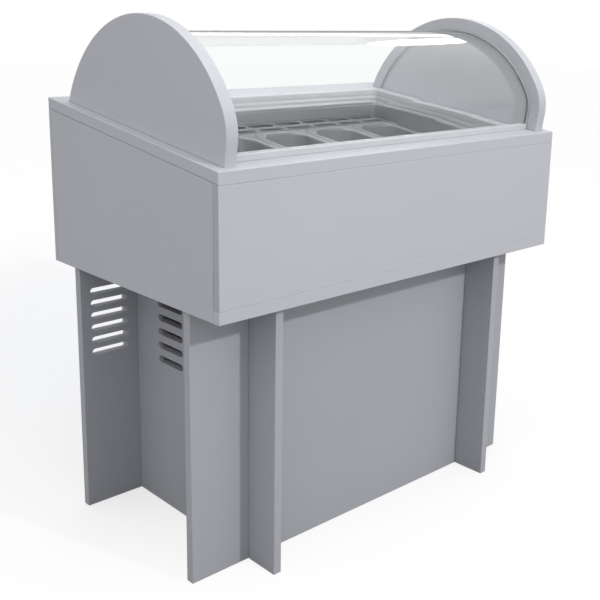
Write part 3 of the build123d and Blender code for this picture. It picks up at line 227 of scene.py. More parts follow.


# the pedestal tone is the case's lacquer made darker: painted shade for the shade under the case
tones = {
    "lacquer": (0.530, 0.537, 0.568), "pedestal": (0.437, 0.443, 0.471), "rim": (0.55, 0.555, 0.575),
    "pan": (0.30, 0.305, 0.315), "well": (0.43, 0.435, 0.445), "rail": (0.60, 0.605, 0.625),
    "seal": (0.50, 0.50, 0.505),
}
finishes = {
    "silver_board": grained("satinLacquer", tones["lacquer"], (0.42, 0.56), metal=0.1, spread=0.025,
                            grain=900.0, cloud=2.5, bump=0.05, depth=0.0003, wearAndHighlight=0.03, shine=0.3,
                            banded=0.86),
    # painted shade: the pedestal boards get a darker copy of the case's lacquer
    "pedestal": grained("pedestalShadedLacquer", tones["pedestal"], (0.42, 0.56), metal=0.1, spread=0.03,
                        grain=900.0, cloud=2.5, bump=0.05, depth=0.0003, wearAndHighlight=0.06, shine=0.3),
    "dowel_wood": grained("bareBeech", (0.58, 0.40, 0.22), (0.5, 0.7), spread=0.14, grain=120.0,
                          stretch=(6, 6, 1)),
    "well_steel": grained("wellSteel", tones["well"], (0.30, 0.46), metal=0.8, spread=0.06, grain=40.0,
                          stretch=(0.6, 18, 18), bump=0.06, wearAndHighlight=0.1),
    "pan_steel": grained("panSteel", tones["pan"], (0.32, 0.46), metal=0.5, spread=0.06, grain=40.0,
                         stretch=(14, 0.8, 14), bump=0.05, wearAndHighlight=0.2),
    "rim_plastic": grained("rimGrey", tones["rim"], (0.38, 0.52), spread=0.03, grain=700.0, bump=0.06,
                           wearAndHighlight=0.06),
    "clear_glass": clearSheet("clearGlass"),
    "seal_rubber": grained("sealRubber", tones["seal"], (0.55, 0.75), spread=0.2, grain=900.0, bump=0.15,
                           shine=0.3),
    "rail_aluminium": grained("satinRail", tones["rail"], (0.50, 0.62), metal=0.1, spread=0.03, grain=60.0,
                              stretch=(0.4, 12, 12), bump=0.04, shine=0.2),
    "foam": grained("yellowFoam", (0.72, 0.60, 0.36), (0.8, 0.95), spread=0.12, grain=350.0, bump=0.5,
                    depth=0.001),
    "copper": grained("copperTube", (0.62, 0.30, 0.17), (0.25, 0.45), metal=1.0, spread=0.12, grain=90.0,
                      bump=0.05),
    "drain_plastic": grained("drainGrey", (0.60, 0.60, 0.59), (0.4, 0.55), spread=0.04),
    "machine_black": grained("blackEnamel", (0.022, 0.022, 0.023), (0.3, 0.45), spread=0.2, grain=500.0,
                             bump=0.12),
    "zinc_steel": grained("zincSteel", (0.52, 0.53, 0.54), (0.32, 0.52), metal=1.0, spread=0.10, grain=55.0,
                          bump=0.06, wearAndHighlight=0.1),
    "grommet_rubber": grained("grommetRubber", (0.022, 0.022, 0.022), (0.6, 0.8), spread=0.2, grain=700.0,
                              bump=0.2),
    "condenser_aluminium": grained("millAluminium", (0.62, 0.63, 0.64), (0.35, 0.5), metal=1.0, spread=0.06,
                                   grain=80.0, stretch=(1, 1, 12)),
    "black_plastic": grained("grainedBlack", (0.022, 0.022, 0.024), (0.42, 0.60), spread=0.18, grain=1600.0,
                             bump=0.22, wearAndHighlight=0.8),
    "switch_plastic": grained("glossBlack", (0.018, 0.018, 0.019), (0.14, 0.24), spread=0.15, grain=300.0,
                              bump=0.02, wearAndHighlight=0.6),
    "shaft_steel": grained("turnedSteel", (0.50, 0.51, 0.52), (0.22, 0.36), metal=1.0, spread=0.08,
                           grain=300.0, stretch=(1, 12, 1)),
    "plate_aluminium": grained("brushedPlate", (0.56, 0.57, 0.58), (0.28, 0.44), metal=1.0, spread=0.06,
                               grain=50.0, stretch=(0.5, 10, 22), bump=0.05, wearAndHighlight=0.2),
    "box_plastic": grained("boxGrey", (0.20, 0.205, 0.21), (0.45, 0.6), spread=0.06, grain=900.0, bump=0.12),
}
slotOf = {row["node"]: row["material_slot"] for row in frame["record"]["subparts"]}
print("finishes made:", len(finishes), "for", len(slotOf), "nodes")


# Mesh helpers: an edge bent by more than "sharp" radians is eased, and places within "near" are one
shaping = {"sharp": 0.9, "near": 1e-5, "cut": 1e-6, "flatDegrees": 0.6}


def vertsIn(geom):
    return [g for g in geom if isinstance(g, bmesh.types.BMVert)]


def edgesIn(geom):
    return [g for g in geom if isinstance(g, bmesh.types.BMEdge)]


def edgesOn(verts):
    return list(dict.fromkeys(e for v in verts for e in v.link_edges))


def edgesAt(bm, x):
    return [e for e in bm.edges if all(abs(abs(v.co.x) - x) < shaping["near"] for v in e.verts)]


def bevelSharp(bm, width, segments, edges=None, least=shaping["sharp"]):
    layer = bm.faces.layers.float.get("edge") or bm.faces.layers.float.new("edge")
    pool = bm.edges if edges is None else edges
    sharp = [e for e in pool if len(e.link_faces) == 2 and e.calc_face_angle(0.0) > least]
    made = bmesh.ops.bevel(bm, geom=sharp, offset=width, offset_type="OFFSET", segments=segments,
                           profile=0.5, affect="EDGES", clamp_overlap=True, material=-1)
    for face in made["faces"]:
        face[layer] = 1.0
        face.smooth = True


def placePiece(bm, name, slot, body, replaced=(), smoothAngle=None, sheet=0.0, finish=None):
    mesh = bpy.data.meshes.new(name)
    bm.normal_update()
    bm.to_mesh(mesh)
    bm.free()
    if smoothAngle is not None:
        mesh.shade_smooth()
        mesh.set_sharp_from_angle(angle=math.radians(smoothAngle))
    piece = bpy.data.objects.new(name, mesh)
    sceneNow.collection.objects.link(piece)
    mesh.materials.append(finishes[finish or slot])
    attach(piece, body)
    if replaced:
        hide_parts(*replaced)
    if sheet:
        wall = piece.modifiers.new("sheet", "SOLIDIFY")
        wall.thickness = sheet
        wall.offset = -1.0
        wall.use_even_offset = True
    if smoothAngle is not None:  # broad faces stay flat beside their rounded edges
        weighted = piece.modifiers.new("weighted", "WEIGHTED_NORMAL")
        weighted.keep_sharp = True


def copyOfNode(node):
    bm = bmesh.new()
    bm.from_mesh(nodes[node].data)
    bmesh.ops.remove_doubles(bm, verts=bm.verts, dist=shaping["near"])
    bmesh.ops.dissolve_limit(bm, angle_limit=math.radians(shaping["flatDegrees"]), verts=bm.verts,
                             edges=bm.edges)
    return bm


def moveBy(bm, geom, vec):
    bmesh.ops.translate(bm, verts=vertsIn(geom), vec=vec)


def pushOut(bm, faces, vec):
    moveBy(bm, bmesh.ops.extrude_face_region(bm, geom=faces)["geom"], vec)


def cutPlane(bm, place, across):
    bmesh.ops.bisect_plane(bm, geom=bm.verts[:] + bm.edges[:] + bm.faces[:], dist=shaping["cut"],
                           plane_co=place, plane_no=across)


def addBar(bm, size, place):
    bar = bmesh.ops.create_cube(bm, size=1.0)["verts"]
    bmesh.ops.scale(bm, verts=bar, vec=size)
    bmesh.ops.translate(bm, verts=bar, vec=place)
    return bar


# Boards, panels and small fixed pieces: the made shape with its edges eased
eased = {
    "pedestal_front_board": 0.0012, "pedestal_rear_board": 0.0012, "pedestal_left_board": 0.0012,
    "pedestal_right_board": 0.0012, "case_base_board": 0.0010, "case_front_panel": 0.0010,
    "case_left_panel": 0.0010, "case_right_panel": 0.0010, "case_rear_panel": 0.0008, "deck_frame": 0.0014,
    "pan_rail_front": 0.0004, "pan_rail_rear": 0.0004, "air_grille": 0.0003, "control_plate": 0.0005,
    "switch_housing": 0.0006, "switch_rocker": 0.0006, "cable_gland": 0.0008, "electrical_box": 0.0012,
    "terminal_cover": 0.0015, "machine_tray": 0.0004, "case_brackets": 0.0005, "tray_brackets": 0.0005,
}
# an edge is eased in full where no short edge of a hole or slot meets it, and by the "tight" share elsewhere
easing = {"steps": 2, "room": 4.0, "tight": 0.25, "tightSteps": 1}
endBand = {"node": "case_front_panel", "facing": 0.9}  # its faces to the sides are a little darker


def roomyEdges(bm, room):
    short = {v for e in bm.edges if e.calc_length() < room for v in e.verts}
    return [e for e in bm.edges if not short.intersection(e.verts)]


# narrow shadow gaps on the case's ends, beside the deck frame and the front and rear panels
seams = {"wide": 0.0008, "deep": 0.0020, "lip": 0.00005, "endX": 0.525, "facing": 0.999,
         "deck_frame": ((0.0, -0.315, 0.8637), (0.0, -deck["rise"], deck["run"])),
         "case_front_panel": ((0.0, -0.2990, 0.0), (0.0, 1.0, 0.0)),
         "case_rear_panel": ((0.0, 0.3040, 0.0), (0.0, 1.0, 0.0))}


def cutSeam(bm, place, across):
    start = Vector(place)
    step = Vector(across).normalized()
    for reach in (0.0, seams["wide"]):
        cutPlane(bm, start + step * reach, step)

    def inStrip(face):
        at = face.calc_center_median()
        onEnd = abs(face.normal.x) > seams["facing"] and abs(at.x) > seams["endX"] - shaping["near"]
        return onEnd and 0.0 < (at - start).dot(step) < seams["wide"]

    bmesh.ops.inset_region(bm, faces=[f for f in bm.faces if inStrip(f)], thickness=seams["lip"],
                           depth=-seams["deep"], use_even_offset=True)


def easeEdges():
    for node, width in eased.items():
        bm = copyOfNode(node)
        bevelSharp(bm, width, easing["steps"], roomyEdges(bm, easing["room"] * width))
        bevelSharp(bm, easing["tight"] * width, easing["tightSteps"])
        if node in seams:
            bm.normal_update()
            cutSeam(bm, *seams[node])
        if node == endBand["node"]:
            band = bm.faces.layers.float.new("band")
            for face in bm.faces:
                face[band] = float(abs(face.normal.x) > endBand["facing"])
        # the pedestal boards take the darker copy of the lacquer, painted shade
        finish = "pedestal" if node.startswith("pedestal") else None
        placePiece(bm, node + ".eased", slotOf[node], nodes[node]["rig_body"], [node], finish=finish)
    print("edges eased on", len(eased), "pieces")


# The half-round path of the end panels: up the front, round the corner, over the crown
dome = {"front": 0.016, "cornerY": 0.126, "cornerZ": 0.0427, "crownY": 0.287, "crownZ": -0.076,
        "crownR": 0.310, "lean": 53.6, "cornerSteps": 16, "crownSteps": 60}


# sweeps a vertex, or an edge between two insets, along the path
def sweepDome(bm, start, foot, rearAngle):
    if edgesIn(start):
        rise = bmesh.ops.extrude_edge_only(bm, edges=edgesIn(start))["geom"]
        rise = [g for g in rise if not isinstance(g, bmesh.types.BMFace)]
    else:
        rise = bmesh.ops.extrude_vert_indiv(bm, verts=start)["verts"]
    moveBy(bm, rise, (0, 0, dome["cornerZ"] - foot))
    corner = bmesh.ops.spin(bm, geom=rise, cent=(0, dome["cornerY"], dome["cornerZ"]), axis=(1, 0, 0),
                            angle=-math.radians(90 - dome["lean"]), steps=dome["cornerSteps"])
    crown = bmesh.ops.spin(bm, geom=corner["geom_last"], cent=(0, dome["crownY"], dome["crownZ"]),
                           axis=(1, 0, 0), angle=-math.radians(dome["lean"] + rearAngle),
                           steps=dome["crownSteps"])
    return crown["geom_last"]


def deckAngle(inset):
    return math.degrees(math.acos(-dome["crownZ"] / (dome["crownR"] - inset)))


def domeSlab(bm, inset, x, thick):
    known = set(bm.edges)
    start = bm.verts.new((x, dome["front"] + inset, 0.0))
    end = sweepDome(bm, [start], 0.0, deckAngle(inset))
    bm.edges.new((start, vertsIn(end)[0]))
    outline = [e for e in bm.edges if e not in known]
    pushOut(bm, bmesh.ops.edgeloop_fill(bm, edges=outline)["faces"], (thick, 0, 0))


def domeBand(bm, inset0, inset1, x, thick, foot=0.0, rearAngle=None):
    known = set(bm.faces)
    ends = [bm.verts.new((x, dome["front"] + inset, foot)) for inset in (inset0, inset1)]
    last = sweepDome(bm, ends + [bm.edges.new(ends)], foot, rearAngle or deckAngle(inset0))
    if rearAngle is None:  # the inner corner stops at the deck too
        for v in vertsIn(last):
            v.co.z = max(v.co.z, 0.0)
    pushOut(bm, [f for f in bm.faces if f not in known], (thick, 0, 0))


# in each piece's values, an edge's ease, polish or round is its width and its number of steps
panel = {"outer": 0.500, "inner": 0.472, "groove": 0.008, "near": 0.0288, "far": 0.0452, "ease": (0.0016, 3),
         "smooth": 34}


def makeEndPanel(side, node):
    bm = bmesh.new()
    plate = panel["outer"] - panel["inner"] - panel["groove"]
    grooveX = side * (panel["outer"] - plate)
    domeSlab(bm, 0.0, side * panel["outer"], -side * plate)
    domeBand(bm, 0.0, panel["near"], grooveX, -side * panel["groove"])
    domeSlab(bm, panel["far"], grooveX, -side * panel["groove"])
    bmesh.ops.recalc_face_normals(bm, faces=bm.faces)
    bevelSharp(bm, *panel["ease"], edgesAt(bm, panel["outer"]) + edgesAt(bm, panel["inner"]))
    bmesh.ops.transform(bm, matrix=deckPlace, verts=bm.verts)
    placePiece(bm, node + ".panel", "silver_board", "cabinet", [node], panel["smooth"])


glass = {"inset": 0.034, "thick": 0.006, "half": 0.4778, "foot": 0.0042, "rear": 34.0, "polish": (0.0012, 3),
         "smooth": 40}


def makeGlass():
    bm = bmesh.new()
    domeBand(bm, glass["inset"], glass["inset"] + glass["thick"], -glass["half"], 2 * glass["half"],
             glass["foot"], glass["rear"])
    bmesh.ops.recalc_face_normals(bm, faces=bm.faces)
    bevelSharp(bm, *glass["polish"])
    bmesh.ops.transform(bm, matrix=deckPlace, verts=bm.verts)
    placePiece(bm, "canopy_glass.sheet", "clear_glass", "cabinet", ["canopy_glass"], glass["smooth"])


seal = {"near": 0.029, "far": 0.045, "gap": 0.0002, "base": 0.0018, "in": 0.0078, "proud": 0.002,
        "foot": 0.0002, "round": (0.0009, 3), "smooth": 40}


def makeSeal(side, node):
    bm = bmesh.new()
    glassNear = glass["inset"] - seal["gap"]
    glassFar = glass["inset"] + glass["thick"] + seal["gap"]
    lipX = side * (panel["inner"] - seal["proud"])
    lipDepth = side * (seal["proud"] + seal["in"] - seal["base"])
    for inset0, inset1 in ((seal["near"], glassNear), (glassFar, seal["far"])):
        domeBand(bm, inset0, inset1, lipX, lipDepth, seal["foot"], glass["rear"])
    domeBand(bm, seal["near"], seal["far"], lipX + lipDepth, side * seal["base"], seal["foot"], glass["rear"])
    bmesh.ops.recalc_face_normals(bm, faces=bm.faces)
    bevelSharp(bm, *seal["round"], edgesAt(bm, abs(lipX)))
    bmesh.ops.transform(bm, matrix=deckPlace, verts=bm.verts)
    placePiece(bm, node + ".lips", "seal_rubber", "cabinet", [node], seal["smooth"])


rail = {"half": 0.4698, "front": 0.043, "rear": 0.063, "tall": 0.013, "slit": (0.0498, 0.0562),
        "floor": 0.004, "ease": (0.0010, 3), "smooth": 40}


def makeFrontRail():
    bm = bmesh.new()
    front, rear, tall, floor = (rail[key] for key in ("front", "rear", "tall", "floor"))
    near, far = rail["slit"]
    outline = [(front, 0.0), (front, tall), (near, tall), (near, floor),
               (far, floor), (far, tall), (rear, tall), (rear, 0.0)]
    end = bm.faces.new([bm.verts.new((-rail["half"], y, z)) for y, z in outline])
    pushOut(bm, [end], (2 * rail["half"], 0, 0))
    bmesh.ops.recalc_face_normals(bm, faces=bm.faces)
    outside = [e for e in bm.edges  # the slit's own edges stay sharp
               if any(abs(v.co.y - y) < shaping["near"] for v in e.verts for y in (front, rear))]
    bevelSharp(bm, *rail["ease"], outside)
    bmesh.ops.transform(bm, matrix=deckPlace, verts=bm.verts)
    placePiece(bm, "front_rail.channel", "rail_aluminium", "cabinet", ["front_rail"], rail["smooth"])


# Well: the floor's edge is drawn round
well = {"floor": -0.216, "floorNear": 2e-4, "floorRound": (0.012, 5), "drain": (0.200, 0.152),
        "drainClear": 0.03, "smooth": 34}


def makeLiner():
    bm = copyOfNode("well_liner")
    toDeck = deckPlace.inverted()
    drain = Vector((*well["drain"], well["floor"]))

    def onFloorEdge(edge):
        ends = [toDeck @ v.co for v in edge.verts]
        return all(abs(p.z - well["floor"]) < well["floorNear"] and (p - drain).length > well["drainClear"]
                   for p in ends)

    bevelSharp(bm, *well["floorRound"], [e for e in bm.edges if onFloorEdge(e)])
    placePiece(bm, "well_liner.drawn", "well_steel", "cabinet", ["well_liner"], well["smooth"])


# Well rim: two shallow grooves run round its inner face
rim = {"grooves": ((-0.0110, -0.0165), (-0.0235, -0.0290)), "groove": 0.0014, "flank": 0.0006, "half": 0.424,
       "front": 0.090, "rear": 0.530, "near": 1e-4, "upright": 0.3, "ease": (0.0009, 2), "sharp": 1.2,
       "smooth": 34}


def makeRim():
    bm = copyOfNode("well_rim")
    toDeck = deckPlace.inverted()
    up = deckPlace.to_3x3() @ Vector((0, 0, 1))
    for high, low in rim["grooves"]:
        for level in (high, low):
            cutPlane(bm, deckPlace @ Vector((0, 0, level)), up)
        ring = []
        for face in bm.faces:
            at = toDeck @ face.calc_center_median()
            within = rim["front"] - rim["near"] < at.y < rim["rear"] + rim["near"]
            inside = abs(at.x) < rim["half"] + rim["near"] and within
            if inside and low < at.z < high and abs(face.normal.dot(up)) < rim["upright"]:
                ring.append(face)
        bmesh.ops.inset_region(bm, faces=ring, thickness=rim["flank"], depth=-rim["groove"],
                               use_even_offset=True)
    bevelSharp(bm, *rim["ease"], least=rim["sharp"])
    placePiece(bm, "well_rim.ribbed", "rim_plastic", "cabinet", ["well_rim"], rim["smooth"])


# Pans: pressed rim, tapered sides and a round foot
pan = {"count": 5, "pitch": 0.168, "wide": 0.165, "front": 0.094, "rear": 0.454, "top": -0.074,
       "rimCorner": 0.026, "mouthCorner": 0.0345, "cornerSteps": 10, "rim": 0.0175, "deep": 0.1185,
       "draw": 0.00829, "footRound": (0.018, 6), "mouthRound": (0.0030, 3), "lip": 0.0019,
       "lipRound": (0.00114, 3), "sharp": 0.5, "sheet": 0.0014, "smooth": 34}


def panOutline(bm, x, half, inset, corner):
    known = set(bm.verts)
    front, rear = pan["front"] + inset, pan["rear"] - inset
    places = [(inset - half, front), (half - inset, front), (half - inset, rear), (inset - half, rear)]
    bm.faces.new([bm.verts.new((x + dx, y, pan["top"])) for dx, y in places])
    fresh = [v for v in bm.verts if v not in known]
    bmesh.ops.bevel(bm, geom=fresh, offset=corner, offset_type="OFFSET", segments=pan["cornerSteps"],
                    profile=0.5, affect="VERTICES", material=-1)
    return next(f for f in bm.faces if not known.intersection(f.verts))


def makePan(index):
    bm = bmesh.new()
    x = (index - (pan["count"] - 1) / 2) * pan["pitch"]
    half = pan["wide"] / 2
    middle = (x, (pan["front"] + pan["rear"]) / 2, pan["top"])
    blank = panOutline(bm, x, half, 0.0, pan["rimCorner"])
    outline = blank.edges[:]
    mouth = panOutline(bm, x, half, pan["rim"], pan["mouthCorner"])
    mouthEdges = mouth.edges[:]
    pairs = list(zip(blank.verts, mouth.verts))
    bmesh.ops.delete(bm, geom=[blank], context="FACES_ONLY")
    for (outer0, inner0), (outer1, inner1) in zip(pairs, pairs[1:] + pairs[:1]):
        bm.faces.new((outer0, outer1, inner1, inner0))
    lip = bmesh.ops.extrude_edge_only(bm, edges=outline)["geom"]
    moveBy(bm, lip, (0, 0, -pan["lip"]))
    drawn = bmesh.ops.extrude_face_region(bm, geom=[mouth])["geom"]
    floor = [g for g in drawn if isinstance(g, bmesh.types.BMFace)][0]
    bmesh.ops.delete(bm, geom=[mouth], context="FACES_ONLY")
    floorVerts = floor.verts[:]
    inner = (pan["wide"] - 2 * pan["rim"], pan["rear"] - pan["front"] - 2 * pan["rim"])
    bmesh.ops.translate(bm, verts=floorVerts, vec=(0, 0, -pan["deep"]))
    shrink = (1 - 2 * pan["draw"] / inner[0], 1 - 2 * pan["draw"] / inner[1], 1.0)
    bmesh.ops.scale(bm, verts=floorVerts, vec=shrink, space=Matrix.Translation([-c for c in middle]))
    floorEdges = floor.edges[:]
    bmesh.ops.recalc_face_normals(bm, faces=bm.faces)
    if floor.normal.z < 0:
        bmesh.ops.reverse_faces(bm, faces=bm.faces)
    bevelSharp(bm, *pan["footRound"], floorEdges, pan["sharp"])
    bevelSharp(bm, *pan["mouthRound"], [e for e in mouthEdges if e.is_valid], pan["sharp"])
    bevelSharp(bm, *pan["lipRound"], [e for e in outline if e.is_valid], pan["sharp"])
    bmesh.ops.transform(bm, matrix=deckPlace, verts=bm.verts)
    node = "pan_%d" % (index + 1)
    placePiece(bm, node + ".pressed", "pan_steel", node + "_body", [node], pan["smooth"], pan["sheet"])


# Service side: screws and knob are made lying flat, then turned so that their tops face the rear
toRear = Matrix.Rotation(math.radians(-90), 4, "X")
screw = {"crossLong": 0.0026, "crossWide": 0.0005, "crossDeep": 0.0012, "headR": 0.00425, "domeR": 0.0030,
         "domeTall": 0.0009, "headTall": 0.0025, "sunkTall": 0.0022, "shankR": 0.0020, "shankLong": 0.014,
         "segments": 24, "smooth": 34}


# a head with a cross pressed into it; it starts as a cross and grows out to the rim
def crossHead(bm, centre, tall, flush):
    known = set(bm.verts)
    a, b = screw["crossLong"], screw["crossWide"]
    corners = [(a, -b), (a, b), (b, b), (b, a), (-b, a), (-b, b),
               (-a, b), (-a, -b), (-b, -b), (-b, -a), (b, -a), (b, -b)]
    cross = [bm.verts.new((x, y, tall)) for x, y in corners]
    crossEdges = [bm.edges.new((cross[i - 1], cross[i])) for i in range(len(cross))]
    faceR = screw["headR"] if flush else screw["domeR"]
    head = bmesh.ops.create_circle(bm, segments=screw["segments"], radius=faceR)["verts"]
    for v in head:
        v.co.z = tall
    headEdges = edgesOn(head)
    bmesh.ops.bridge_loops(bm, edges=crossEdges + headEdges)
    pit = bmesh.ops.extrude_edge_only(bm, edges=crossEdges)["geom"]
    moveBy(bm, pit, (0, 0, -screw["crossDeep"]))
    bmesh.ops.edgeloop_fill(bm, edges=edgesIn(pit))
    side = bmesh.ops.extrude_edge_only(bm, edges=headEdges)["geom"]
    inward = screw["shankR"] / screw["headR"]
    widen = inward if flush else screw["headR"] / screw["domeR"]
    bmesh.ops.scale(bm, verts=vertsIn(side), vec=(widen, widen, 1.0))
    moveBy(bm, side, (0, 0, -screw["sunkTall"] if flush else -screw["domeTall"]))
    if not flush:
        skirt = bmesh.ops.extrude_edge_only(bm, edges=edgesIn(side))["geom"]
        moveBy(bm, skirt, (0, 0, screw["domeTall"] - tall))
        side = bmesh.ops.extrude_edge_only(bm, edges=edgesIn(skirt))["geom"]
        bmesh.ops.scale(bm, verts=vertsIn(side), vec=(inward, inward, 1.0))
    shank = bmesh.ops.extrude_edge_only(bm, edges=edgesIn(side))["geom"]
    moveBy(bm, shank, (0, 0, -screw["shankLong"]))
    bmesh.ops.edgeloop_fill(bm, edges=edgesIn(shank))
    fresh = [v for v in bm.verts if v not in known]
    bmesh.ops.transform(bm, matrix=Matrix.Translation(centre) @ toRear, verts=fresh)


service = {"plateX": 0.150, "plateZ": 0.500, "plateFace": 0.244, "screwX": 0.0765, "screwZ": 0.0315,
           "rearFace": 0.315, "sideX": 0.516, "sideRises": (0.18, 0.5, 0.82), "bottomZ": 0.598,
           "rearTall": 0.378, "lowZ": 0.611, "lowShares": (-0.6, -0.2, 0.2, 0.6)}


def placeScrews(node, places, tall, flush):
    bm = bmesh.new()
    for place in places:
        crossHead(bm, place, tall, flush)
    bmesh.ops.recalc_face_normals(bm, faces=bm.faces)
    placePiece(bm, node + ".cross", "zinc_steel", "cabinet", [node], screw["smooth"])


def makeScrews():
    onPlate = [(service["plateX"] + sx * service["screwX"], service["plateFace"],
                service["plateZ"] + sz * service["screwZ"]) for sx in (-1, 1) for sz in (-1, 1)]
    placeScrews("control_screws", onPlate, screw["headTall"], False)
    face = service["rearFace"]
    onRear = [(s * service["sideX"], face, service["bottomZ"] + service["rearTall"] * rise)
              for s in (-1, 1) for rise in service["sideRises"]]
    onRear += [(service["sideX"] * share, face, service["lowZ"]) for share in service["lowShares"]]
    placeScrews("rear_panel_screws", onRear, 0.0, True)


knob = {"x": 0.190, "z": 0.500, "back": 0.2446, "radius": 0.018, "skirt": 0.0085, "tall": 0.017,
        "upright": 0.5, "ribs": 36, "ribDeep": 0.0005, "ribGap": 0.00035, "topRound": (0.0008, 2),
        "gripWide": 0.010, "gripShare": 0.93, "gripSunk": 0.001, "gripRound": (0.0022, 3),
        "pointer": (0.0012, 0.0002, 0.011), "pointerOut": 0.0075, "pointerEase": (0.00008, 1), "smooth": 34}


def makeKnob():
    bm = bmesh.new()
    disc = bmesh.ops.create_circle(bm, cap_ends=True, segments=2 * knob["ribs"], radius=knob["radius"])
    base = disc["verts"][0].link_faces[0]
    pushOut(bm, [base], (0, 0, knob["skirt"]))
    bmesh.ops.recalc_face_normals(bm, faces=bm.faces)
    sides = [f for f in bm.faces if abs(f.normal.z) < knob["upright"]]
    sides.sort(key=lambda f: math.atan2(f.calc_center_median().y, f.calc_center_median().x))
    top = [e for e in bm.edges if all(v.co.z > knob["skirt"] - shaping["near"] for v in e.verts)]
    bmesh.ops.inset_individual(bm, faces=sides[::2], thickness=knob["ribGap"], depth=-knob["ribDeep"])
    bevelSharp(bm, *knob["topRound"], [e for e in top if e.is_valid])
    gripLong = 2 * knob["radius"] * knob["gripShare"]
    gripTall = knob["tall"] - knob["skirt"] + knob["gripSunk"]
    gripZ = (knob["tall"] + knob["skirt"] - knob["gripSunk"]) / 2
    grip = addBar(bm, (knob["gripWide"], gripLong, gripTall), (0, 0, gripZ))
    bevelSharp(bm, *knob["gripRound"], edgesOn(grip))
    centre = Matrix.Translation((knob["x"], knob["back"], knob["z"]))
    bmesh.ops.transform(bm, matrix=centre @ toRear, verts=bm.verts)
    placePiece(bm, "thermostat_knob.ribbed", "black_plastic", "knob", ["thermostat_knob"], knob["smooth"])
    bm = bmesh.new()
    addBar(bm, knob["pointer"], (knob["x"], knob["back"] + knob["tall"], knob["z"] + knob["pointerOut"]))
    bevelSharp(bm, *knob["pointerEase"])
    placePiece(bm, "knob_pointer", "rim_plastic", "knob")


# printed marks round the dial and beside the switch
marks = {"ticks": 10, "first": 90.0, "sweep": 270.0, "near": 0.0215, "far": 0.0255, "endLonger": 0.001,
         "wide": 0.0007, "ink": 0.00012, "switchX": 0.105, "onZ": 0.5255, "onWide": 0.0009,
         "onTall": 0.0052, "offZ": 0.4745, "ringR": 0.0026, "ringWide": 0.0008, "ringSteps": 28}


def makeMarks():
    bm = bmesh.new()
    face, ink = service["plateFace"], marks["ink"]
    for i in range(marks["ticks"] + 1):
        angle = math.radians(marks["first"] + marks["sweep"] * i / marks["ticks"])  # off is at the top
        long = marks["far"] - marks["near"] + (marks["endLonger"] if i in (0, marks["ticks"]) else 0.0)
        bar = addBar(bm, (long, ink, marks["wide"]), (marks["near"] + long / 2, 0, 0))
        bmesh.ops.rotate(bm, verts=bar, cent=(0, 0, 0), matrix=Matrix.Rotation(-angle, 3, "Y"))
        bmesh.ops.translate(bm, verts=bar, vec=(knob["x"], face + ink / 2, knob["z"]))
    addBar(bm, (marks["onWide"], ink, marks["onTall"]), (marks["switchX"], face + ink / 2, marks["onZ"]))
    outer, inner = marks["ringR"], marks["ringR"] - marks["ringWide"]
    square = [(outer, 0), (outer, ink), (inner, ink), (inner, 0)]
    ring = [bm.verts.new((marks["switchX"] + x, face + y, marks["offZ"])) for x, y in square]
    ringEdges = [bm.edges.new((ring[i - 1], ring[i])) for i in range(len(ring))]
    bmesh.ops.spin(bm, geom=ring + ringEdges, cent=(marks["switchX"], face, marks["offZ"]), axis=(0, 1, 0),
                   angle=math.radians(360), steps=marks["ringSteps"], use_merge=True)
    bmesh.ops.recalc_face_normals(bm, faces=bm.faces)
    placePiece(bm, "plate_marks", "black_plastic", "cabinet")


# 1 for what the camera sees, also through the glass
def seenRays(tree, path):
    return mathOn(tree, "MAXIMUM", path.outputs["Is Camera Ray"], path.outputs["Is Transmission Ray"])


# Plain pale floor: it is white where it is seen, and keeps more of its shadow near "shadeAt", behind the case
ground = {"half": 20.0, "z": -0.0006, "rough": 0.9, "lit": 0.30, "seen": 0.92,
          "shadeAt": (0.35, 1.35, 0.0), "glow": (0.20, 0.92), "fade": (0.5, 1.8)}


def makeFloor():
    bm = bmesh.new()
    bmesh.ops.create_grid(bm, x_segments=2, y_segments=2, size=ground["half"])
    bmesh.ops.translate(bm, verts=bm.verts, vec=(0, 0, ground["z"]))
    mesh = bpy.data.meshes.new("floor")
    bm.to_mesh(mesh)
    bm.free()
    floor = bpy.data.objects.new("floor", mesh)
    sceneNow.collection.objects.link(floor)
    finish, tree, shader = newFinish("paleFloor")
    shader.inputs["Roughness"].default_value = ground["rough"]
    shader.inputs["Specular IOR Level"].default_value = 0.0
    seen = seenRays(tree, addNode(tree, "ShaderNodeLightPath"))
    pale = mixColours(tree, seen, grey(ground["lit"]), grey(ground["seen"]))
    tree.links.new(pale, shader.inputs["Base Color"])
    place = addNode(tree, "ShaderNodeTexCoord")
    reach = addNode(tree, "ShaderNodeVectorMath", operation="DISTANCE")
    reach.inputs[1].default_value = ground["shadeAt"]
    tree.links.new(place.outputs["Object"], reach.inputs[0])
    share = rangeOn(tree, reach.outputs["Value"], *ground["glow"], *ground["fade"])
    white = addNode(tree, "ShaderNodeEmission")
    surface = mixShaders(tree, mathOn(tree, "MULTIPLY", share, seen), shader.outputs["BSDF"],
                         white.outputs["Emission"])
    tree.links.new(surface, tree.nodes["Material Output"].inputs["Surface"])
    mesh.materials.append(finish)


# the camera sees white, mirrors see a pale sky over a dim horizon
sky = {"ambient": 0.92, "tint": (0.97, 0.98, 1.0), "horizon": (0.25, 0.25, 0.26),
       "above": (0.90, 0.90, 0.92), "fade": (0.14, 0.40)}


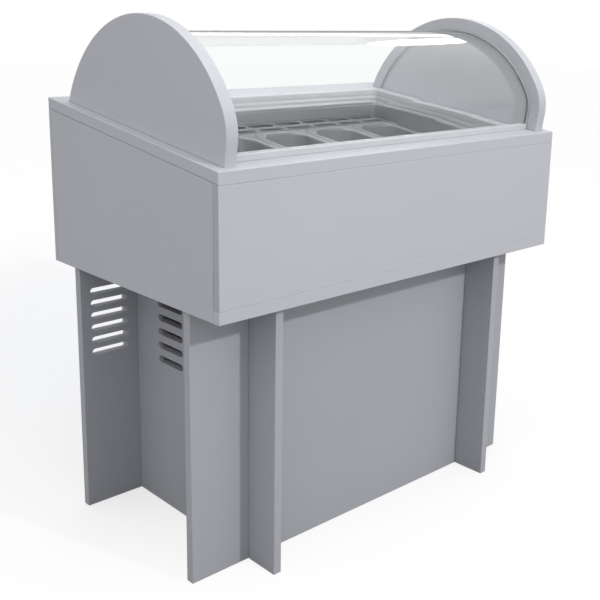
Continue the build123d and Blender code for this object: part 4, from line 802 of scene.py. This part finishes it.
def makeWorld():
    world = bpy.data.worlds.new("studio")
    sceneNow.world = world
    world.use_nodes = True
    tree = world.node_tree
    soft = tree.nodes["Background"]
    soft.inputs["Color"].default_value = (*sky["tint"], 1.0)
    soft.inputs["Strength"].default_value = sky["ambient"]
    place = addNode(tree, "ShaderNodeTexCoord")
    apart = addNode(tree, "ShaderNodeSeparateXYZ")
    tree.links.new(place.outputs["Generated"], apart.inputs["Vector"])
    mirrored = addNode(tree, "ShaderNodeBackground")
    tone = rampOn(tree, apart.outputs["Z"], sky["horizon"], sky["above"], *sky["fade"])
    tree.links.new(tone, mirrored.inputs["Color"])
    shown = addNode(tree, "ShaderNodeBackground")
    shown.inputs["Color"].default_value = grey(1.0)
    path = addNode(tree, "ShaderNodeLightPath")
    unseen = mixShaders(tree, path.outputs["Is Glossy Ray"], soft.outputs["Background"],
                        mirrored.outputs["Background"])
    surface = mixShaders(tree, seenRays(tree, path), unseen, shown.outputs["Background"])
    tree.links.new(surface, tree.nodes["World Output"].inputs["Surface"])


# soft light: a small key in front, soft boxes above and beside, two far strips that the glass mirrors
lamps = {
    "key": {"place": (0.50, -3.35, 2.60), "power": 56.0, "size": (0.15, 0.15), "aim": (0.0, -0.3, 0.6),
            "shape": "RECTANGLE", "mirrored": False},
    "top": {"place": (0.0, -0.30, 2.70), "power": 7.0, "size": (1.6, 1.2), "aim": (0.0, 0.0, 0.8),
            "shape": "RECTANGLE", "mirrored": True},
    "side": {"place": (-1.9, -0.50, 2.20), "power": 4.0, "size": (1.0, 1.0), "aim": (0.0, 0.0, 0.7),
             "shape": "RECTANGLE", "mirrored": True},
    "band": {"place": (3.60, 3.40, 2.85), "power": 9.0, "size": (2.6, 0.45), "aim": (0.0, -0.1, 1.12),
             "shape": "RECTANGLE", "mirrored": True},
    "lobe": {"place": (4.10, 2.05, 3.60), "power": 8.5, "size": (0.66, 1.1), "aim": (0.2, -0.1, 1.10),
             "shape": "ELLIPSE", "mirrored": True},
}


def makeLight(name, values):
    lamp = bpy.data.lights.new(name, "AREA")
    lamp.shape = values["shape"]
    lamp.size, lamp.size_y = values["size"]
    lamp.energy = values["power"]
    source = bpy.data.objects.new(name, lamp)
    place = Vector(values["place"])
    source.location = place
    source.rotation_euler = (Vector(values["aim"]) - place).to_track_quat("-Z", "Y").to_euler()
    source.visible_camera = False
    source.visible_glossy = values["mirrored"]
    sceneNow.collection.objects.link(source)


makeCamera()
easeEdges()
for side, word in ((-1, "left"), (1, "right")):
    makeEndPanel(side, "end_panel_" + word)
    makeSeal(side, "glass_seal_" + word)
makeGlass()
makeFrontRail()
print("canopy built")
makeLiner()
makeRim()
for index in range(pan["count"]):
    makePan(index)
print("well and pans built")
makeScrews()
makeKnob()
makeMarks()
print("service side built")
for name, node in nodes.items():
    node.data.materials.clear()
    node.data.materials.append(finishes[slotOf[name]])
print("finishes set on", len(nodes), "nodes")
makeFloor()
makeWorld()
for name, values in lamps.items():
    makeLight(name, values)
print("stage and light set")
